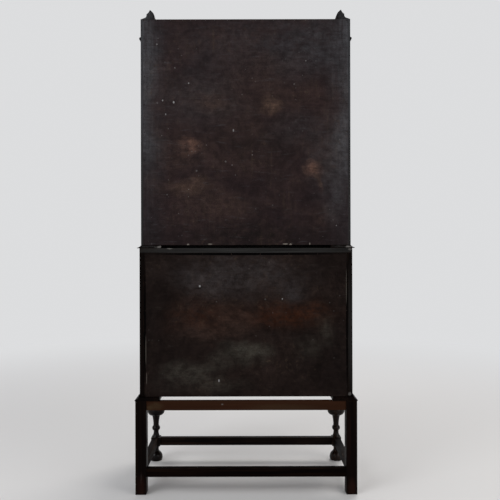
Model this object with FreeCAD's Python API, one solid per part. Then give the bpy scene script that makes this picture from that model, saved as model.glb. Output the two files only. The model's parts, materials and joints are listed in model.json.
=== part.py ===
import FreeCAD, Part
import math
import os

Vector = FreeCAD.Vector

# Bureau bookcase in dark oak: a stand, a bureau with a sloping fall, and a bookcase with leaded doors.
# Millimetres, +Z up, front towards -Y, left towards -X as seen from the front.
# The origin is on the floor, under the middle of the whole object.

# Stand
stand_overhang = 17.0
bureau_back_set = 12.0
back_leg_size = 46.0
front_block_size = 50.0
stretcher_block_size = 44.0
back_rail_height = 40.0
side_rail_height = 60.0
rail_thickness = 22.0
rail_set_in = 3.0
apron_shoulder = 120.0
apron_cyma_width = 150.0
apron_arch_rise = 25.0
stretcher_height = 37.0
stretcher_thickness = 28.0
stretcher_set_in = 2.0
stretcher_side_set = 7.0

# Turned front leg, stacked from the floor up: the leg height is their sum
foot_height = 53.0
foot_neck_height = 19.0
stretcher_block_height = 42.0
lower_neck_height = 31.0
ring_height = 25.0
shaft_height = 51.0
cup_rim_rise = 21.0
cup_dome_height = 63.0
top_neck_height = 20.0
top_block_height = 72.0

# Turned front leg, radii
foot_base_radius = 28.0
foot_radius = 31.5
foot_shoulder_radius = 17.0
foot_neck_radius = 12.5
block_shoulder_radius = 21.0
lower_neck_radius = 12.5
ring_radius = 19.5
shaft_bottom_radius = 13.5
shaft_top_radius = 20.0
cup_radius = 42.0
top_neck_radius = 12.0
cup_shoulder_radius = 30.0
cup_shoulder_rise = 28.0
cup_under_round = 6.0
cup_rim_round = 2.5
foot_swell_rise = 18.0
foot_shoulder_rise = 43.0
foot_dip = 1.0
cup_dip = 4.0
neck_dip = 3.0
shaft_dip = 2.0

# Moulded frame between stand and bureau, open at the back
stand_frame_thickness = 15.0
stand_frame_nose = 3.0
stand_frame_edge = 3.0
stand_frame_bearing = 86.0
stand_frame_lip = 10.0
stand_frame_lip_width = 1.5
stand_frame_cove = 4.0
bureau_seat_clearance = 0.5

# How far the mitre planes of a moulding run past its top and its foot
mitre_margin = 1.0

# Bureau
bureau_width = 906.0
bureau_depth = 433.0
bureau_side_thickness = 19.0
bureau_bottom_thickness = 18.0
bureau_top_thickness = 20.0
bureau_back_thickness = 6.0
bureau_back_recess = 4.0
lower_drawer_opening = 154.0
drawer_rail_thickness = 18.0
drawer_rail_depth = 70.0
upper_drawer_opening = 125.0
bed_thickness = 20.0
desk_height = 278.0
slope_run = 149.0
runner_lap = 30.0

# Fall flap
flap_side_inset = 1.0
flap_seat_gap = 0.3
flap_foot_gap = 0.5
flap_top_gap = 2.0
leather_margin = 45.0
leather_thickness = 1.0
flap_lock_width = 60.0
leather_lock_gap = 11.0
flap_lock_thickness = 2.0
flap_hinge_inset = 131.0
flap_leaf_width = 25.0

# Lopers: the bearers that pull out under the open flap
loper_thickness = 22.0
loper_back_gap = 90.0
loper_side_gap = 0.5
loper_bottom_gap = 0.4
loper_top_gap = 1.0
loper_partition_thickness = 12.0
loper_knob_radius = 9.0
loper_knob_length = 18.0

# Drawers
drawer_front_thickness = 20.0
drawer_side_thickness = 11.0
drawer_bottom_thickness = 6.0
drawer_bottom_rise = 8.0
drawer_side_drop = 16.0
drawer_back_gap = 18.0
drawer_side_gap = 1.0
lower_drawer_top_gap = 1.5
upper_drawer_top_gap = 4.5
drawer_bottom_gap = 0.3

# Drop handles
handle_inset = 144.0
handle_plate_radius = 19.0
handle_plate_thickness = 2.0
handle_drop_clearance = 1.5
handle_eye_radius = 4.0
handle_eye_width = 6.0
handle_eye_clearance = 0.4
handle_lug_thickness = 2.4
handle_shank_radius = 2.2
handle_shank_length = 7.0
handle_drop_radius = 9.0
handle_drop_length = 36.0
handle_pin_radius = 1.5

# Pigeonholes and the two small drawers inside the desk
pigeonhole_setback = 100.0
pigeonhole_headroom = 38.0
pigeonhole_board = 9.0
pigeonhole_bays = 5
centre_well_width = 165.0
inner_drawer_opening = 72.0
inner_front_thickness = 10.0
inner_side_thickness = 6.0
inner_bottom_thickness = 4.0
inner_bottom_rise = 3.0
inner_side_drop = 8.0
inner_drawer_back_gap = 8.0
inner_drawer_gap = 0.6
inner_drawer_bottom_gap = 0.3
inner_knob_radius = 6.5
inner_knob_length = 13.0

# Moulded frame between bureau and bookcase, open at the back
waist_thickness = 13.0
waist_nose = 17.0
waist_edge = 2.5
waist_bearing = 85.0
waist_cove = 2.0

# Bookcase
bookcase_side_set = 7.0
bookcase_front_set = 19.0
bookcase_side_thickness = 18.0
bookcase_bottom_thickness = 18.0
bookcase_top_thickness = 18.0
bookcase_back_thickness = 6.0
bookcase_back_rebate = 9.0
door_opening_height = 852.0
frieze_height = 73.0
frieze_thickness = 20.0
bead_rise = 9.0
bead_radius = 6.3

# Cornice section: widths run inwards from the case side, heights run up from the case top
cornice_width = 60.0
cornice_fillet_width = 19.6
cornice_fillet_height = 7.0
cornice_throat_width = 25.0
cornice_throat_height = 22.0
cornice_crest_width = 39.0
cornice_crest_height = 40.0
cornice_inner_height = 8.0
cornice_hollow = 2.2
cornice_round = 5.0

# Shelves
shelf_thickness = 16.0
shelf_side_gap = 1.0
shelf_front_gap = 5.0
shelf_spacing = 286.0
shelf_count = 2
peg_radius = 3.0
peg_hole_clearance = 0.1
peg_depth = 8.0
peg_reach = 11.0
peg_inset = 40.0

# Doors
door_thickness = 20.0
door_gap = 1.0
door_meeting_gap = 1.5
door_stile_width = 55.0
door_top_rail_height = 60.0
door_bottom_rail_height = 75.0
glass_thickness = 3.0
glass_groove_depth = 6.0
came_width = 8.0
came_thickness = 2.0
came_border = 6.0
pane_columns = 3
pane_rows = 5
door_knob_radius = 9.0
door_knob_length = 20.0
door_knob_height = 400.0
door_hinge_inset = 110.0
escutcheon_width = 22.0
escutcheon_height = 44.0
escutcheon_thickness = 1.6
keyhole_radius = 3.0

# Butt hinges
hinge_length = 60.0
hinge_leaf_margin = 2.0
hinge_leaf_thickness = 1.5
hinge_knuckle_radius = 3.0
hinge_knuckle_clearance = 0.4
hinge_end_gap = 0.3
hinge_pin_radius = 1.5
pin_clearance = 0.05

# Heights above the floor
stretcher_block_z = foot_height + foot_neck_height
ring_z = stretcher_block_z + stretcher_block_height + lower_neck_height
shaft_z = ring_z + ring_height
cup_z = shaft_z + shaft_height
cup_rim_z = cup_z + cup_rim_rise
top_neck_z = cup_rim_z + cup_dome_height
top_block_z = top_neck_z + top_neck_height
leg_top_z = top_block_z + top_block_height
base_z = leg_top_z + stand_frame_thickness
floor_z = base_z + bureau_bottom_thickness
rail_z = floor_z + lower_drawer_opening
upper_z = rail_z + drawer_rail_thickness
bed_z = upper_z + upper_drawer_opening
desk_z = bed_z + bed_thickness
bureau_top_z = desk_z + desk_height
waist_z = bureau_top_z + bureau_top_thickness
case_z = waist_z + waist_thickness
door_z = case_z + bookcase_bottom_thickness
frieze_z = door_z + door_opening_height
case_top_z = frieze_z + frieze_height
crown_z = case_top_z + bookcase_top_thickness

# Places across the width
bureau_half = bureau_width / 2
bureau_inner = bureau_half - bureau_side_thickness
stand_half = bureau_half + stand_overhang
front_leg_x = stand_half - front_block_size / 2
partition_x = bureau_inner - loper_thickness - 2 * loper_side_gap
upper_drawer_half = partition_x - loper_partition_thickness
case_half = bureau_half - bookcase_side_set
case_inner = case_half - bookcase_side_thickness

# Places along the depth: the cups of the front legs or the frame's nose reach furthest forward
stand_depth = bureau_depth + bureau_back_set + stand_overhang
front_reach = max(cup_radius - front_block_size / 2, stand_frame_nose)
back_y = (stand_depth + front_reach) / 2
stand_front_y = back_y - stand_depth
front_leg_y = stand_front_y + front_block_size / 2
bureau_back_y = back_y - bureau_back_set
bureau_front_y = bureau_back_y - bureau_depth
bureau_panel_y = bureau_back_y - bureau_back_recess - bureau_back_thickness
bureau_top_front_y = bureau_front_y + slope_run
pigeonhole_top_rise = desk_height - pigeonhole_headroom
pigeonhole_height = pigeonhole_top_rise - inner_drawer_opening - 2 * pigeonhole_board
slope_tangent = slope_run / (desk_height + bureau_top_thickness)
pigeonhole_front_y = bureau_front_y + pigeonhole_top_rise * slope_tangent + pigeonhole_setback
case_front_y = bureau_top_front_y + bookcase_front_set
case_panel_y = bureau_back_y - bookcase_back_thickness

# The flap leans back by this angle from upright, from the front edge of the writing bed
slope_angle = math.atan(slope_tangent)
slope_sine = math.sin(slope_angle)
slope_cosine = math.cos(slope_angle)
flap_thickness = bed_thickness
flap_outer = flap_seat_gap + flap_thickness
flap_rise = desk_height + bureau_top_thickness - flap_top_gap
flap_length = (flap_rise - flap_outer * slope_sine) / slope_cosine

# How far the pin of a drop handle stands out from the drawer
handle_stand_off = handle_plate_thickness + handle_drop_clearance + handle_drop_radius


def block(x0, x1, y0, y1, z0, z1):
    """A board or block between six planes."""
    return Part.makeBox(x1 - x0, y1 - y0, z1 - z0, Vector(x0, y0, z0))


def prism(corners, travel):
    """A straight-sided solid: a polygon of points moved along a vector."""
    return Part.Face(Part.makePolygon(corners + corners[:1])).extrude(travel)


def moulded_face(start, steps, place):
    """A flat section. A step is an end point, or a middle point and an end point for an arc."""
    edges = []
    here = place(*start)
    for step in steps:
        points = [place(*point) for point in step]
        if len(points) == 2:
            edges.append(Part.Arc(here, points[0], points[1]).toShape())
        else:
            edges.append(Part.LineSegment(here, points[0]).toShape())
        here = points[-1]
    return Part.Face(Part.Wire(edges))


def three_sided(start, steps, width, half, front_y, rear_y, z):
    """A moulding along the left side, the front and the right side, mitred at the front corners.

    Its section runs inwards from the outer line and up from z; width is the section's whole width.
    """
    side_face = moulded_face(start, steps, lambda inward, up: Vector(-half + inward, front_y, z + up))
    side = side_face.extrude(Vector(0, rear_y - front_y, 0))
    front_face = moulded_face(start, steps, lambda inward, up: Vector(-half, front_y + inward, z + up))
    front = front_face.extrude(Vector(2 * half, 0, 0))
    low = side.BoundBox.ZMin - mitre_margin
    tall = Vector(0, 0, side.BoundBox.ZLength + 2 * mitre_margin)
    side_plan = [
        Vector(-half, front_y, low),
        Vector(-half + width, front_y + width, low),
        Vector(-half + width, rear_y, low),
        Vector(-half, rear_y, low),
    ]
    front_plan = [
        Vector(-half, front_y, low),
        Vector(half, front_y, low),
        Vector(half - width, front_y + width, low),
        Vector(-half + width, front_y + width, low),
    ]
    left = side.common(prism(side_plan, tall))
    return [left, front.common(prism(front_plan, tall)), mirrored(left)]


def mirrored(shape):
    """The same piece on the other side of the middle plane."""
    return shape.mirror(Vector(0, 0, 0), Vector(1, 0, 0))


def turned(start, steps, base, axis_turn=None):
    """A turned piece from a half section of radius and height, standing on base or tipped about X."""
    face = moulded_face(start, steps, lambda radius, height: Vector(radius, 0, height))
    solid = face.revolve(Vector(0, 0, 0), Vector(0, 0, 1), 360)
    if axis_turn:
        solid.rotate(Vector(0, 0, 0), Vector(1, 0, 0), axis_turn)
    solid.translate(base)
    return solid


def save(name, *shapes):
    """One node: every solid of the shapes, kept apart, in one file."""
    solids = [solid for shape in shapes for solid in shape.Solids]
    whole = solids[0] if len(solids) == 1 else Part.makeCompound(solids)
    whole.exportStep("parts/" + name + ".step")


def bowed(u0, v0, u1, v1, depth):
    """An arc between two points of a section that leaves their chord by a depth, to the left as it goes."""
    length = math.hypot(u1 - u0, v1 - v0)
    middle = ((u0 + u1) / 2 - (v1 - v0) * depth / length, (v0 + v1) / 2 + (u1 - u0) * depth / length)
    return [middle, (u1, v1)]


def hollow(r0, z0, r1, z1, dip):
    """An arc of a turning that dips towards the axis between its two ends."""
    return [((r0 + r1) / 2 - dip, (z0 + z1) / 2), (r1, z1)]


def dome(radius, base, top):
    """The round end of a turning: part of a ball from its rim to its tip on the axis."""
    centre = (top ** 2 - base ** 2 - radius ** 2) / (2 * (top - base))
    ball = top - centre
    half_angle = math.atan2(radius, (base - centre) * math.copysign(1, ball)) / 2
    return [(abs(ball) * math.sin(half_angle), centre + ball * math.cos(half_angle)), (0, top)]


def front_leg_left():
    """One turned leg with its foot, its stretcher block and its top block, all of one piece of wood."""
    block_top_z = stretcher_block_z + stretcher_block_height
    shoulder_z = cup_rim_z + cup_shoulder_rise
    steps = [
        [(foot_base_radius, 0)],
        [(foot_radius, foot_swell_rise), (foot_shoulder_radius, foot_shoulder_rise)],
        hollow(foot_shoulder_radius, foot_shoulder_rise, foot_neck_radius, foot_height, foot_dip),
        hollow(foot_neck_radius, foot_height, block_shoulder_radius, stretcher_block_z, neck_dip),
        [(block_shoulder_radius, block_top_z)],
        hollow(block_shoulder_radius, block_top_z, lower_neck_radius, ring_z, neck_dip),
        [(ring_radius, (ring_z + shaft_z) / 2), (shaft_bottom_radius, shaft_z)],
        hollow(shaft_bottom_radius, shaft_z, shaft_top_radius, cup_z, shaft_dip),
        [(cup_radius - cup_under_round, cup_z + cup_rim_rise / 3), (cup_radius, cup_rim_z)],
        [(cup_radius - cup_rim_round, cup_rim_z + cup_shoulder_rise / 2), (cup_shoulder_radius, shoulder_z)],
        hollow(cup_shoulder_radius, shoulder_z, top_neck_radius, top_neck_z, cup_dip),
        hollow(top_neck_radius, top_neck_z, block_shoulder_radius, top_block_z, neck_dip),
        [(block_shoulder_radius, leg_top_z)],
        [(0, leg_top_z)],
        [(0, 0)],
    ]
    turning = turned((0, 0), steps, Vector(-front_leg_x, front_leg_y, 0))
    lower_square = (stretcher_block_size / 2, stretcher_block_z, block_top_z)
    for half, low, high in (lower_square, (front_block_size / 2, top_block_z, leg_top_z)):
        square = block(-half, half, -half, half, low, high)
        turning = turning.fuse(square.translated(Vector(-front_leg_x, front_leg_y, 0)))
    return turning.removeSplitter()


def back_leg_left():
    """A plain square post."""
    return block(-stand_half, -stand_half + back_leg_size, back_y - back_leg_size, back_y, 0, leg_top_z)


def front_apron():
    """The front rail, its lower edge raised in a flat arch with a cyma at each end."""
    end = stand_half - front_block_size
    start = end - apron_shoulder
    finish = start - apron_cyma_width
    middle = (start + finish) / 2
    crown = top_block_z + apron_arch_rise
    half_rise = top_block_z + apron_arch_rise / 2
    bow = apron_arch_rise / 8
    quarter = apron_cyma_width / 4
    low_bend = (top_block_z + half_rise) / 2 - bow
    high_bend = (half_rise + crown) / 2 + bow
    y = stand_front_y + rail_set_in
    steps = [
        [(-start, top_block_z)],
        [(-start + quarter, low_bend), (-middle, half_rise)],
        [(-middle + quarter, high_bend), (-finish, crown)],
        [(finish, crown)],
        [(middle - quarter, high_bend), (middle, half_rise)],
        [(start - quarter, low_bend), (start, top_block_z)],
        [(end, top_block_z)],
        [(end, leg_top_z)],
        [(-end, leg_top_z)],
        [(-end, top_block_z)],
    ]
    face = moulded_face((-end, top_block_z), steps, lambda x, z: Vector(x, y, z))
    return face.extrude(Vector(0, rail_thickness, 0))


def stand_frame():
    """The moulding that carries the bureau, with a lip that keeps it in place."""
    bureau_line = stand_frame_nose + stand_overhang - bureau_seat_clearance
    width = stand_frame_nose + stand_overhang + stand_frame_bearing
    lip_top = stand_frame_thickness + stand_frame_lip
    lip_outer = bureau_line - stand_frame_lip_width
    side_steps = [
        [(width, 0)],
        [(width, stand_frame_thickness)],
        [(bureau_line, stand_frame_thickness)],
        [(bureau_line, lip_top)],
        [(lip_outer, lip_top)],
        bowed(lip_outer, lip_top, 0, stand_frame_edge, stand_frame_cove),
        [(0, 0)],
    ]
    return side_steps, width


def build_stand():
    leg = back_leg_left()
    save("stand_back_leg_left", leg)
    save("stand_back_leg_right", mirrored(leg))
    leg = front_leg_left()
    save("stand_front_leg_left", leg)
    save("stand_front_leg_right", mirrored(leg))

    rail_y = back_y - rail_set_in - rail_thickness
    rail_half = stand_half - back_leg_size
    save("stand_back_rail", block(-rail_half, rail_half, rail_y, rail_y + rail_thickness,
                                  leg_top_z - back_rail_height, leg_top_z))
    rear_y = back_y - back_leg_size
    fore_y = stand_front_y + front_block_size
    rail_x = -stand_half + rail_set_in
    rail = block(rail_x, rail_x + rail_thickness, fore_y, rear_y, leg_top_z - side_rail_height, leg_top_z)
    save("stand_side_rails", rail, mirrored(rail))
    save("stand_front_apron", front_apron())

    middle_z = stretcher_block_z + stretcher_block_height / 2
    low_z = middle_z - stretcher_height / 2
    high_z = middle_z + stretcher_height / 2
    front_half = front_leg_x - stretcher_block_size / 2
    front_face = front_leg_y - stretcher_thickness / 2
    front_rear = front_face + stretcher_thickness
    save("stretcher_front", block(-front_half, front_half, front_face, front_rear, low_z, high_z))
    back_face = back_y - stretcher_set_in
    back_fore = back_face - stretcher_thickness
    save("stretcher_back", block(-rail_half, rail_half, back_fore, back_face, low_z, high_z))
    outer_x = -stand_half + stretcher_side_set
    block_rear_y = front_leg_y + stretcher_block_size / 2
    stretcher = block(outer_x, outer_x + stretcher_thickness, block_rear_y, rear_y, low_z, high_z)
    save("stretcher_sides", stretcher, mirrored(stretcher))

    steps, width = stand_frame()
    save("stand_top_frame", *three_sided((0, 0), steps, width, stand_half + stand_frame_nose,
                                         stand_front_y - stand_frame_nose, back_y, leg_top_z))


def slope_point(x, along, outward):
    """A point by its distance up the slope from the hinge line and its distance out from the slope."""
    y = bureau_front_y + along * slope_sine - outward * slope_cosine
    z = desk_z + along * slope_cosine + outward * slope_sine
    return Vector(x, y, z)


def slope_block(x0, x1, along0, along1, out0, out1):
    """A board that lies on the slope."""
    ends = ((along0, out0), (along1, out0), (along1, out1), (along0, out1))
    return prism([slope_point(x0, along, out) for along, out in ends], Vector(x1 - x0, 0, 0))


def hinge(start, axis, fixed_plate, moving_plate):
    """A butt hinge of three knuckles. The fixed leaf holds the middle one and the pin, the other the rest.

    The third piece that it gives is the room that the wood leaves around the knuckles.
    """
    third = hinge_length / 3
    swing_radius = hinge_knuckle_radius + hinge_knuckle_clearance

    def rod(offset, length, radius):
        return Part.makeCylinder(radius, length, start + axis * offset, axis)

    def end_rods(radius, length):
        return rod(0, length, radius).fuse(rod(hinge_length - length, length, radius))

    fixed = fixed_plate.cut(end_rods(swing_radius, third))
    fixed = fixed.fuse([rod(third, third, hinge_knuckle_radius), rod(0, hinge_length, hinge_pin_radius)])
    moving = moving_plate.cut(rod(third - hinge_end_gap, third + 2 * hinge_end_gap, swing_radius))
    moving = moving.fuse(end_rods(hinge_knuckle_radius, third - hinge_end_gap))
    moving = moving.cut(rod(0, hinge_length, hinge_pin_radius + pin_clearance))
    room = rod(-hinge_end_gap, hinge_length + 2 * hinge_end_gap, swing_radius)
    return fixed, moving, room


def knob(base, radius, length):
    """A turned knob that points forwards from its base."""
    stem = radius / 2
    steps = [
        [(stem, 0)],
        [(stem, length / 3)],
        [(radius, length * 2 / 3)],
        dome(radius, length * 2 / 3, length),
        [(0, 0)],
    ]
    return turned((0, 0), steps, base, 90)


def escutcheon():
    """An upright plate with round ends and a keyhole, its back on the plane y = 0, centred on the origin."""
    radius = escutcheon_width / 2
    straight = escutcheon_height / 2 - radius
    steps = [
        [(radius, straight)],
        [(0, straight + radius), (-radius, straight)],
        [(-radius, -straight)],
        [(0, -straight - radius), (radius, -straight)],
    ]
    face = moulded_face((radius, -straight), steps, lambda x, z: Vector(x, 0, z))
    plate = face.extrude(Vector(0, -escutcheon_thickness, 0))
    hole = Part.makeCylinder(keyhole_radius, escutcheon_thickness, Vector(0, 0, 0), Vector(0, -1, 0))
    slot = block(-keyhole_radius / 2, keyhole_radius / 2, -escutcheon_thickness, 0, -3 * keyhole_radius, 0)
    return plate.cut([hole, slot])


def drawer(x0, x1, z0, z1, front_y, length, front, side, bottom, rise, drop):
    """A drawer: its front board, and its two sides, bottom and back."""
    inside_y = front_y + front
    rear_y = front_y + length
    floor = z0 + rise
    box = [
        block(x0, x0 + side, inside_y, rear_y, z0, z1 - drop),
        block(x1 - side, x1, inside_y, rear_y, z0, z1 - drop),
        block(x0 + side, x1 - side, inside_y, rear_y, floor, floor + bottom),
        block(x0 + side, x1 - side, rear_y - side, rear_y, floor + bottom, z1 - drop),
    ]
    return block(x0, x1, front_y, inside_y, z0, z1), box


def handle_plate(x, z):
    """A round plate with two lugs and the pin of its drop."""
    seat = Vector(x, bureau_front_y, z)
    plate = Part.makeCylinder(handle_plate_radius, handle_plate_thickness, seat, Vector(0, -1, 0))
    pin_y = bureau_front_y - handle_stand_off
    inner = handle_eye_width / 2 + handle_eye_clearance
    outer = inner + handle_lug_thickness
    reach = handle_eye_radius
    lug_back = bureau_front_y - handle_plate_thickness
    lugs = [
        block(x + start, x + end, pin_y - reach, lug_back, z - reach, z + reach)
        for start, end in ((-outer, -inner), (inner, outer))
    ]
    pin = Part.makeCylinder(handle_pin_radius, 2 * outer, Vector(x - outer, pin_y, z), Vector(1, 0, 0))
    return plate.fuse(lugs + [pin]).removeSplitter()


def handle_drop(x, z):
    """A pear drop that hangs on the pin by its eye."""
    pin_y = bureau_front_y - handle_stand_off
    neck = -handle_eye_radius - handle_shank_length
    belly = neck - handle_drop_length * 2 / 3
    end = neck - handle_drop_length
    steps = [
        [(handle_shank_radius, 0)],
        [(handle_shank_radius, neck)],
        hollow(handle_shank_radius, neck, handle_drop_radius, belly, handle_shank_radius / 2),
        dome(handle_drop_radius, belly, end),
        [(0, 0)],
    ]
    pear = turned((0, 0), steps, Vector(x, pin_y, z))
    half = handle_eye_width / 2
    eye = Part.makeCylinder(handle_eye_radius, handle_eye_width, Vector(x - half, pin_y, z), Vector(1, 0, 0))
    bore_radius = handle_pin_radius + pin_clearance
    bore = Part.makeCylinder(bore_radius, handle_eye_width, Vector(x - half, pin_y, z), Vector(1, 0, 0))
    return pear.fuse(eye).cut(bore).removeSplitter()


def build_bureau_case():
    top_front_y = bureau_front_y + desk_height * slope_tangent
    outline = [
        Vector(-bureau_half, bureau_front_y, base_z),
        Vector(-bureau_half, bureau_front_y, desk_z),
        Vector(-bureau_half, top_front_y, bureau_top_z),
        Vector(-bureau_half, bureau_back_y, bureau_top_z),
        Vector(-bureau_half, bureau_back_y, base_z),
    ]
    side = prism(outline, Vector(bureau_side_thickness, 0, 0))
    save("bureau_side_left", side)
    save("bureau_side_right", mirrored(side))
    outline = [
        Vector(-bureau_half, top_front_y, bureau_top_z),
        Vector(-bureau_half, bureau_top_front_y, waist_z),
        Vector(-bureau_half, bureau_back_y, waist_z),
        Vector(-bureau_half, bureau_back_y, bureau_top_z),
    ]
    save("bureau_top", prism(outline, Vector(bureau_width, 0, 0)))

    def board(y0, y1, z0, z1):
        return block(-bureau_inner, bureau_inner, y0, y1, z0, z1)

    panel_back_y = bureau_panel_y + bureau_back_thickness
    save("bureau_back_panel", board(bureau_panel_y, panel_back_y, base_z, bureau_top_z))
    save("bureau_bottom", board(bureau_front_y, bureau_panel_y, base_z, floor_z))
    rail_back_y = bureau_front_y + drawer_rail_depth
    save("drawer_rail", board(bureau_front_y, rail_back_y, rail_z, upper_z))
    runner_x = -upper_drawer_half + runner_lap
    runner = block(-bureau_inner, runner_x, rail_back_y, bureau_panel_y, rail_z, upper_z)
    save("drawer_runners", runner, mirrored(runner))
    partition = block(-partition_x, -upper_drawer_half, bureau_front_y, bureau_panel_y, upper_z, bed_z)
    save("loper_partitions", partition, mirrored(partition))


def build_flap():
    half = bureau_half - flap_side_inset
    bed = block(-bureau_inner, bureau_inner, bureau_front_y, bureau_panel_y, bed_z, desk_z)
    panel = slope_block(-half, half, flap_foot_gap, flap_length, flap_seat_gap, flap_outer)
    fixed_leaves = []
    brass = []
    hinge_x = bureau_inner - flap_hinge_inset
    for middle in (-hinge_x, hinge_x):
        x0 = middle - hinge_length / 2
        x1 = middle + hinge_length / 2
        fixed_plate = block(x0, x1, bureau_front_y, bureau_front_y + flap_leaf_width,
                            desk_z - hinge_leaf_thickness, desk_z)
        leaf_outer = flap_seat_gap + hinge_leaf_thickness
        moving_plate = slope_block(x0, x1, 0, flap_leaf_width, flap_seat_gap, leaf_outer)
        start = Vector(x0, bureau_front_y, desk_z)
        fixed, moving, room = hinge(start, Vector(1, 0, 0), fixed_plate, moving_plate)
        bed = bed.cut([fixed_plate, room])
        panel = panel.cut([moving_plate, room])
        fixed_leaves.append(fixed)
        brass.append(moving)

    leather_half = half - leather_margin
    leather = slope_block(-leather_half, leather_half, leather_margin, flap_length - leather_margin,
                          flap_seat_gap, flap_seat_gap + leather_thickness)
    lock_depth = leather_margin - leather_lock_gap
    lock = slope_block(-flap_lock_width / 2, flap_lock_width / 2, flap_length - lock_depth, flap_length,
                       flap_seat_gap, flap_seat_gap + flap_lock_thickness)
    plate = escutcheon()
    plate.rotate(Vector(0, 0, 0), Vector(1, 0, 0), -math.degrees(slope_angle))
    plate.translate(slope_point(0, flap_length - lock_depth, flap_outer))
    save("writing_bed", bed)
    save("flap_panel", panel.cut([leather, lock]))
    save("flap_leather", leather)
    save("flap_brass", lock, plate, *brass)
    save("flap_hinge_fixed_leaves", *fixed_leaves)


def build_lopers():
    x0 = -bureau_inner + loper_side_gap
    x1 = x0 + loper_thickness
    low = upper_z + loper_bottom_gap
    high = bed_z - loper_top_gap
    bar = block(x0, x1, bureau_front_y, bureau_panel_y - loper_back_gap, low, high)
    pull = knob(Vector((x0 + x1) / 2, bureau_front_y, (low + high) / 2), loper_knob_radius, loper_knob_length)
    save("loper_left", bar, pull)
    save("loper_right", mirrored(bar), mirrored(pull))


def build_long_drawers():
    length = bureau_panel_y - bureau_front_y - drawer_back_gap
    handle_x = upper_drawer_half - handle_inset
    drawers = (
        ("upper_drawer", upper_drawer_half, upper_z, bed_z - upper_drawer_top_gap),
        ("lower_drawer", bureau_inner, floor_z, rail_z - lower_drawer_top_gap),
    )
    for name, opening_half, opening_z, high in drawers:
        half = opening_half - drawer_side_gap
        low = opening_z + drawer_bottom_gap
        front, box = drawer(-half, half, low, high, bureau_front_y, length,
                            drawer_front_thickness, drawer_side_thickness, drawer_bottom_thickness,
                            drawer_bottom_rise, drawer_side_drop)
        save(name + "_front", front)
        save(name + "_box", *box)
        pivot_z = (low + high) / 2 + handle_eye_radius + handle_shank_length
        save(name + "_handle_plates", handle_plate(-handle_x, pivot_z), handle_plate(handle_x, pivot_z))
        save(name + "_drop_left", handle_drop(-handle_x, pivot_z))
        save(name + "_drop_right", handle_drop(handle_x, pivot_z))


def build_desk_interior():
    shelf_z = desk_z + inner_drawer_opening
    bay_z = shelf_z + pigeonhole_board
    top_z = bay_z + pigeonhole_height
    boards = [
        block(-bureau_inner, bureau_inner, pigeonhole_front_y, bureau_panel_y, z, z + pigeonhole_board)
        for z in (shelf_z, top_z)
    ]
    save("pigeonhole_boards", *boards)
    bay = (2 * bureau_inner - (pigeonhole_bays - 1) * pigeonhole_board) / pigeonhole_bays
    pitch = bay + pigeonhole_board

    def upright(x1, z0, z1):
        return block(x1 - pigeonhole_board, x1, pigeonhole_front_y, bureau_panel_y, z0, z1)

    uprights = [upright(-bureau_inner + index * pitch, bay_z, top_z) for index in range(1, pigeonhole_bays)]
    left_end = upright(-centre_well_width / 2, desk_z, shelf_z)
    save("pigeonhole_dividers", *uprights, left_end, mirrored(left_end))

    x0 = -bureau_inner + inner_drawer_gap
    x1 = -centre_well_width / 2 - pigeonhole_board - inner_drawer_gap
    depth = bureau_panel_y - pigeonhole_front_y
    front, box = drawer(x0, x1, desk_z + inner_drawer_bottom_gap, shelf_z - inner_drawer_gap,
                        pigeonhole_front_y, depth - inner_drawer_back_gap,
                        inner_front_thickness, inner_side_thickness, inner_bottom_thickness,
                        inner_bottom_rise, inner_side_drop)
    pull_z = (desk_z + shelf_z) / 2
    pull = knob(Vector((x0 + x1) / 2, pigeonhole_front_y, pull_z), inner_knob_radius, inner_knob_length)
    pieces = [front, pull] + box
    save("inner_drawer_left", *pieces)
    save("inner_drawer_right", *[mirrored(piece) for piece in pieces])


def build_waist():
    """The moulding under the bookcase: three members, with an open slot along the back."""
    width = waist_nose + waist_bearing
    steps = [
        [(width, 0)],
        [(width, waist_thickness)],
        [(waist_nose, waist_thickness)],
        bowed(waist_nose, waist_thickness, 0, waist_edge, waist_cove),
        [(0, 0)],
    ]
    half = case_half + waist_nose
    front_y = case_front_y - waist_nose
    save("waist_frame", *three_sided((0, 0), steps, width, half, front_y, bureau_back_y, waist_z))


def build_cornice():
    """The cresting on top of the bookcase and the bead below it, on three sides."""
    fillet = (cornice_fillet_width, cornice_fillet_height)
    throat = (cornice_throat_width, cornice_throat_height)
    crest = (cornice_crest_width, cornice_crest_height)
    inner = (cornice_width, cornice_inner_height)
    steps = [
        [fillet],
        bowed(*fillet, *throat, -cornice_hollow),
        bowed(*throat, *crest, -cornice_hollow),
        bowed(*crest, *inner, cornice_round),
        [(cornice_width, 0)],
        [(0, 0)],
    ]
    members = three_sided((0, 0), steps, cornice_width, case_half, case_front_y, bureau_back_y, crown_z)
    save("cornice", *members)

    foot = (bead_radius, -bead_radius)
    steps = [
        [(0, 0), (bead_radius, bead_radius)],
        [foot],
    ]
    half = case_half + bead_radius
    front_y = case_front_y - bead_radius
    bead_z = frieze_z + bead_rise
    save("bead_moulding", *three_sided(foot, steps, bead_radius, half, front_y, bureau_back_y, bead_z))


def lead_lattice(x0, x1, z0, z1, y):
    """Flat lead strips in a diamond pattern, with half and quarter panes along the edges."""
    rear_y = y + came_thickness
    plate = block(x0, x1, y, rear_y, z0, z1)
    field = block(x0 + came_border, x1 - came_border, y, rear_y, z0 + came_border, z1 - came_border)
    across = (x1 - x0) / pane_columns / 2
    up = (z1 - z0) / pane_rows / 2
    clear = 1 - came_width / 2 * math.hypot(across, up) / (across * up)
    holes = []
    for column in range(2 * pane_columns + 1):
        for row in range(column % 2, 2 * pane_rows + 1, 2):
            x = x0 + column * across
            z = z0 + row * up
            corners = [
                Vector(x - across * clear, y, z),
                Vector(x, y, z + up * clear),
                Vector(x + across * clear, y, z),
                Vector(x, y, z - up * clear),
            ]
            holes.append(prism(corners, Vector(0, came_thickness, 0)).common(field))
    return plate.cut(holes)


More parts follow.
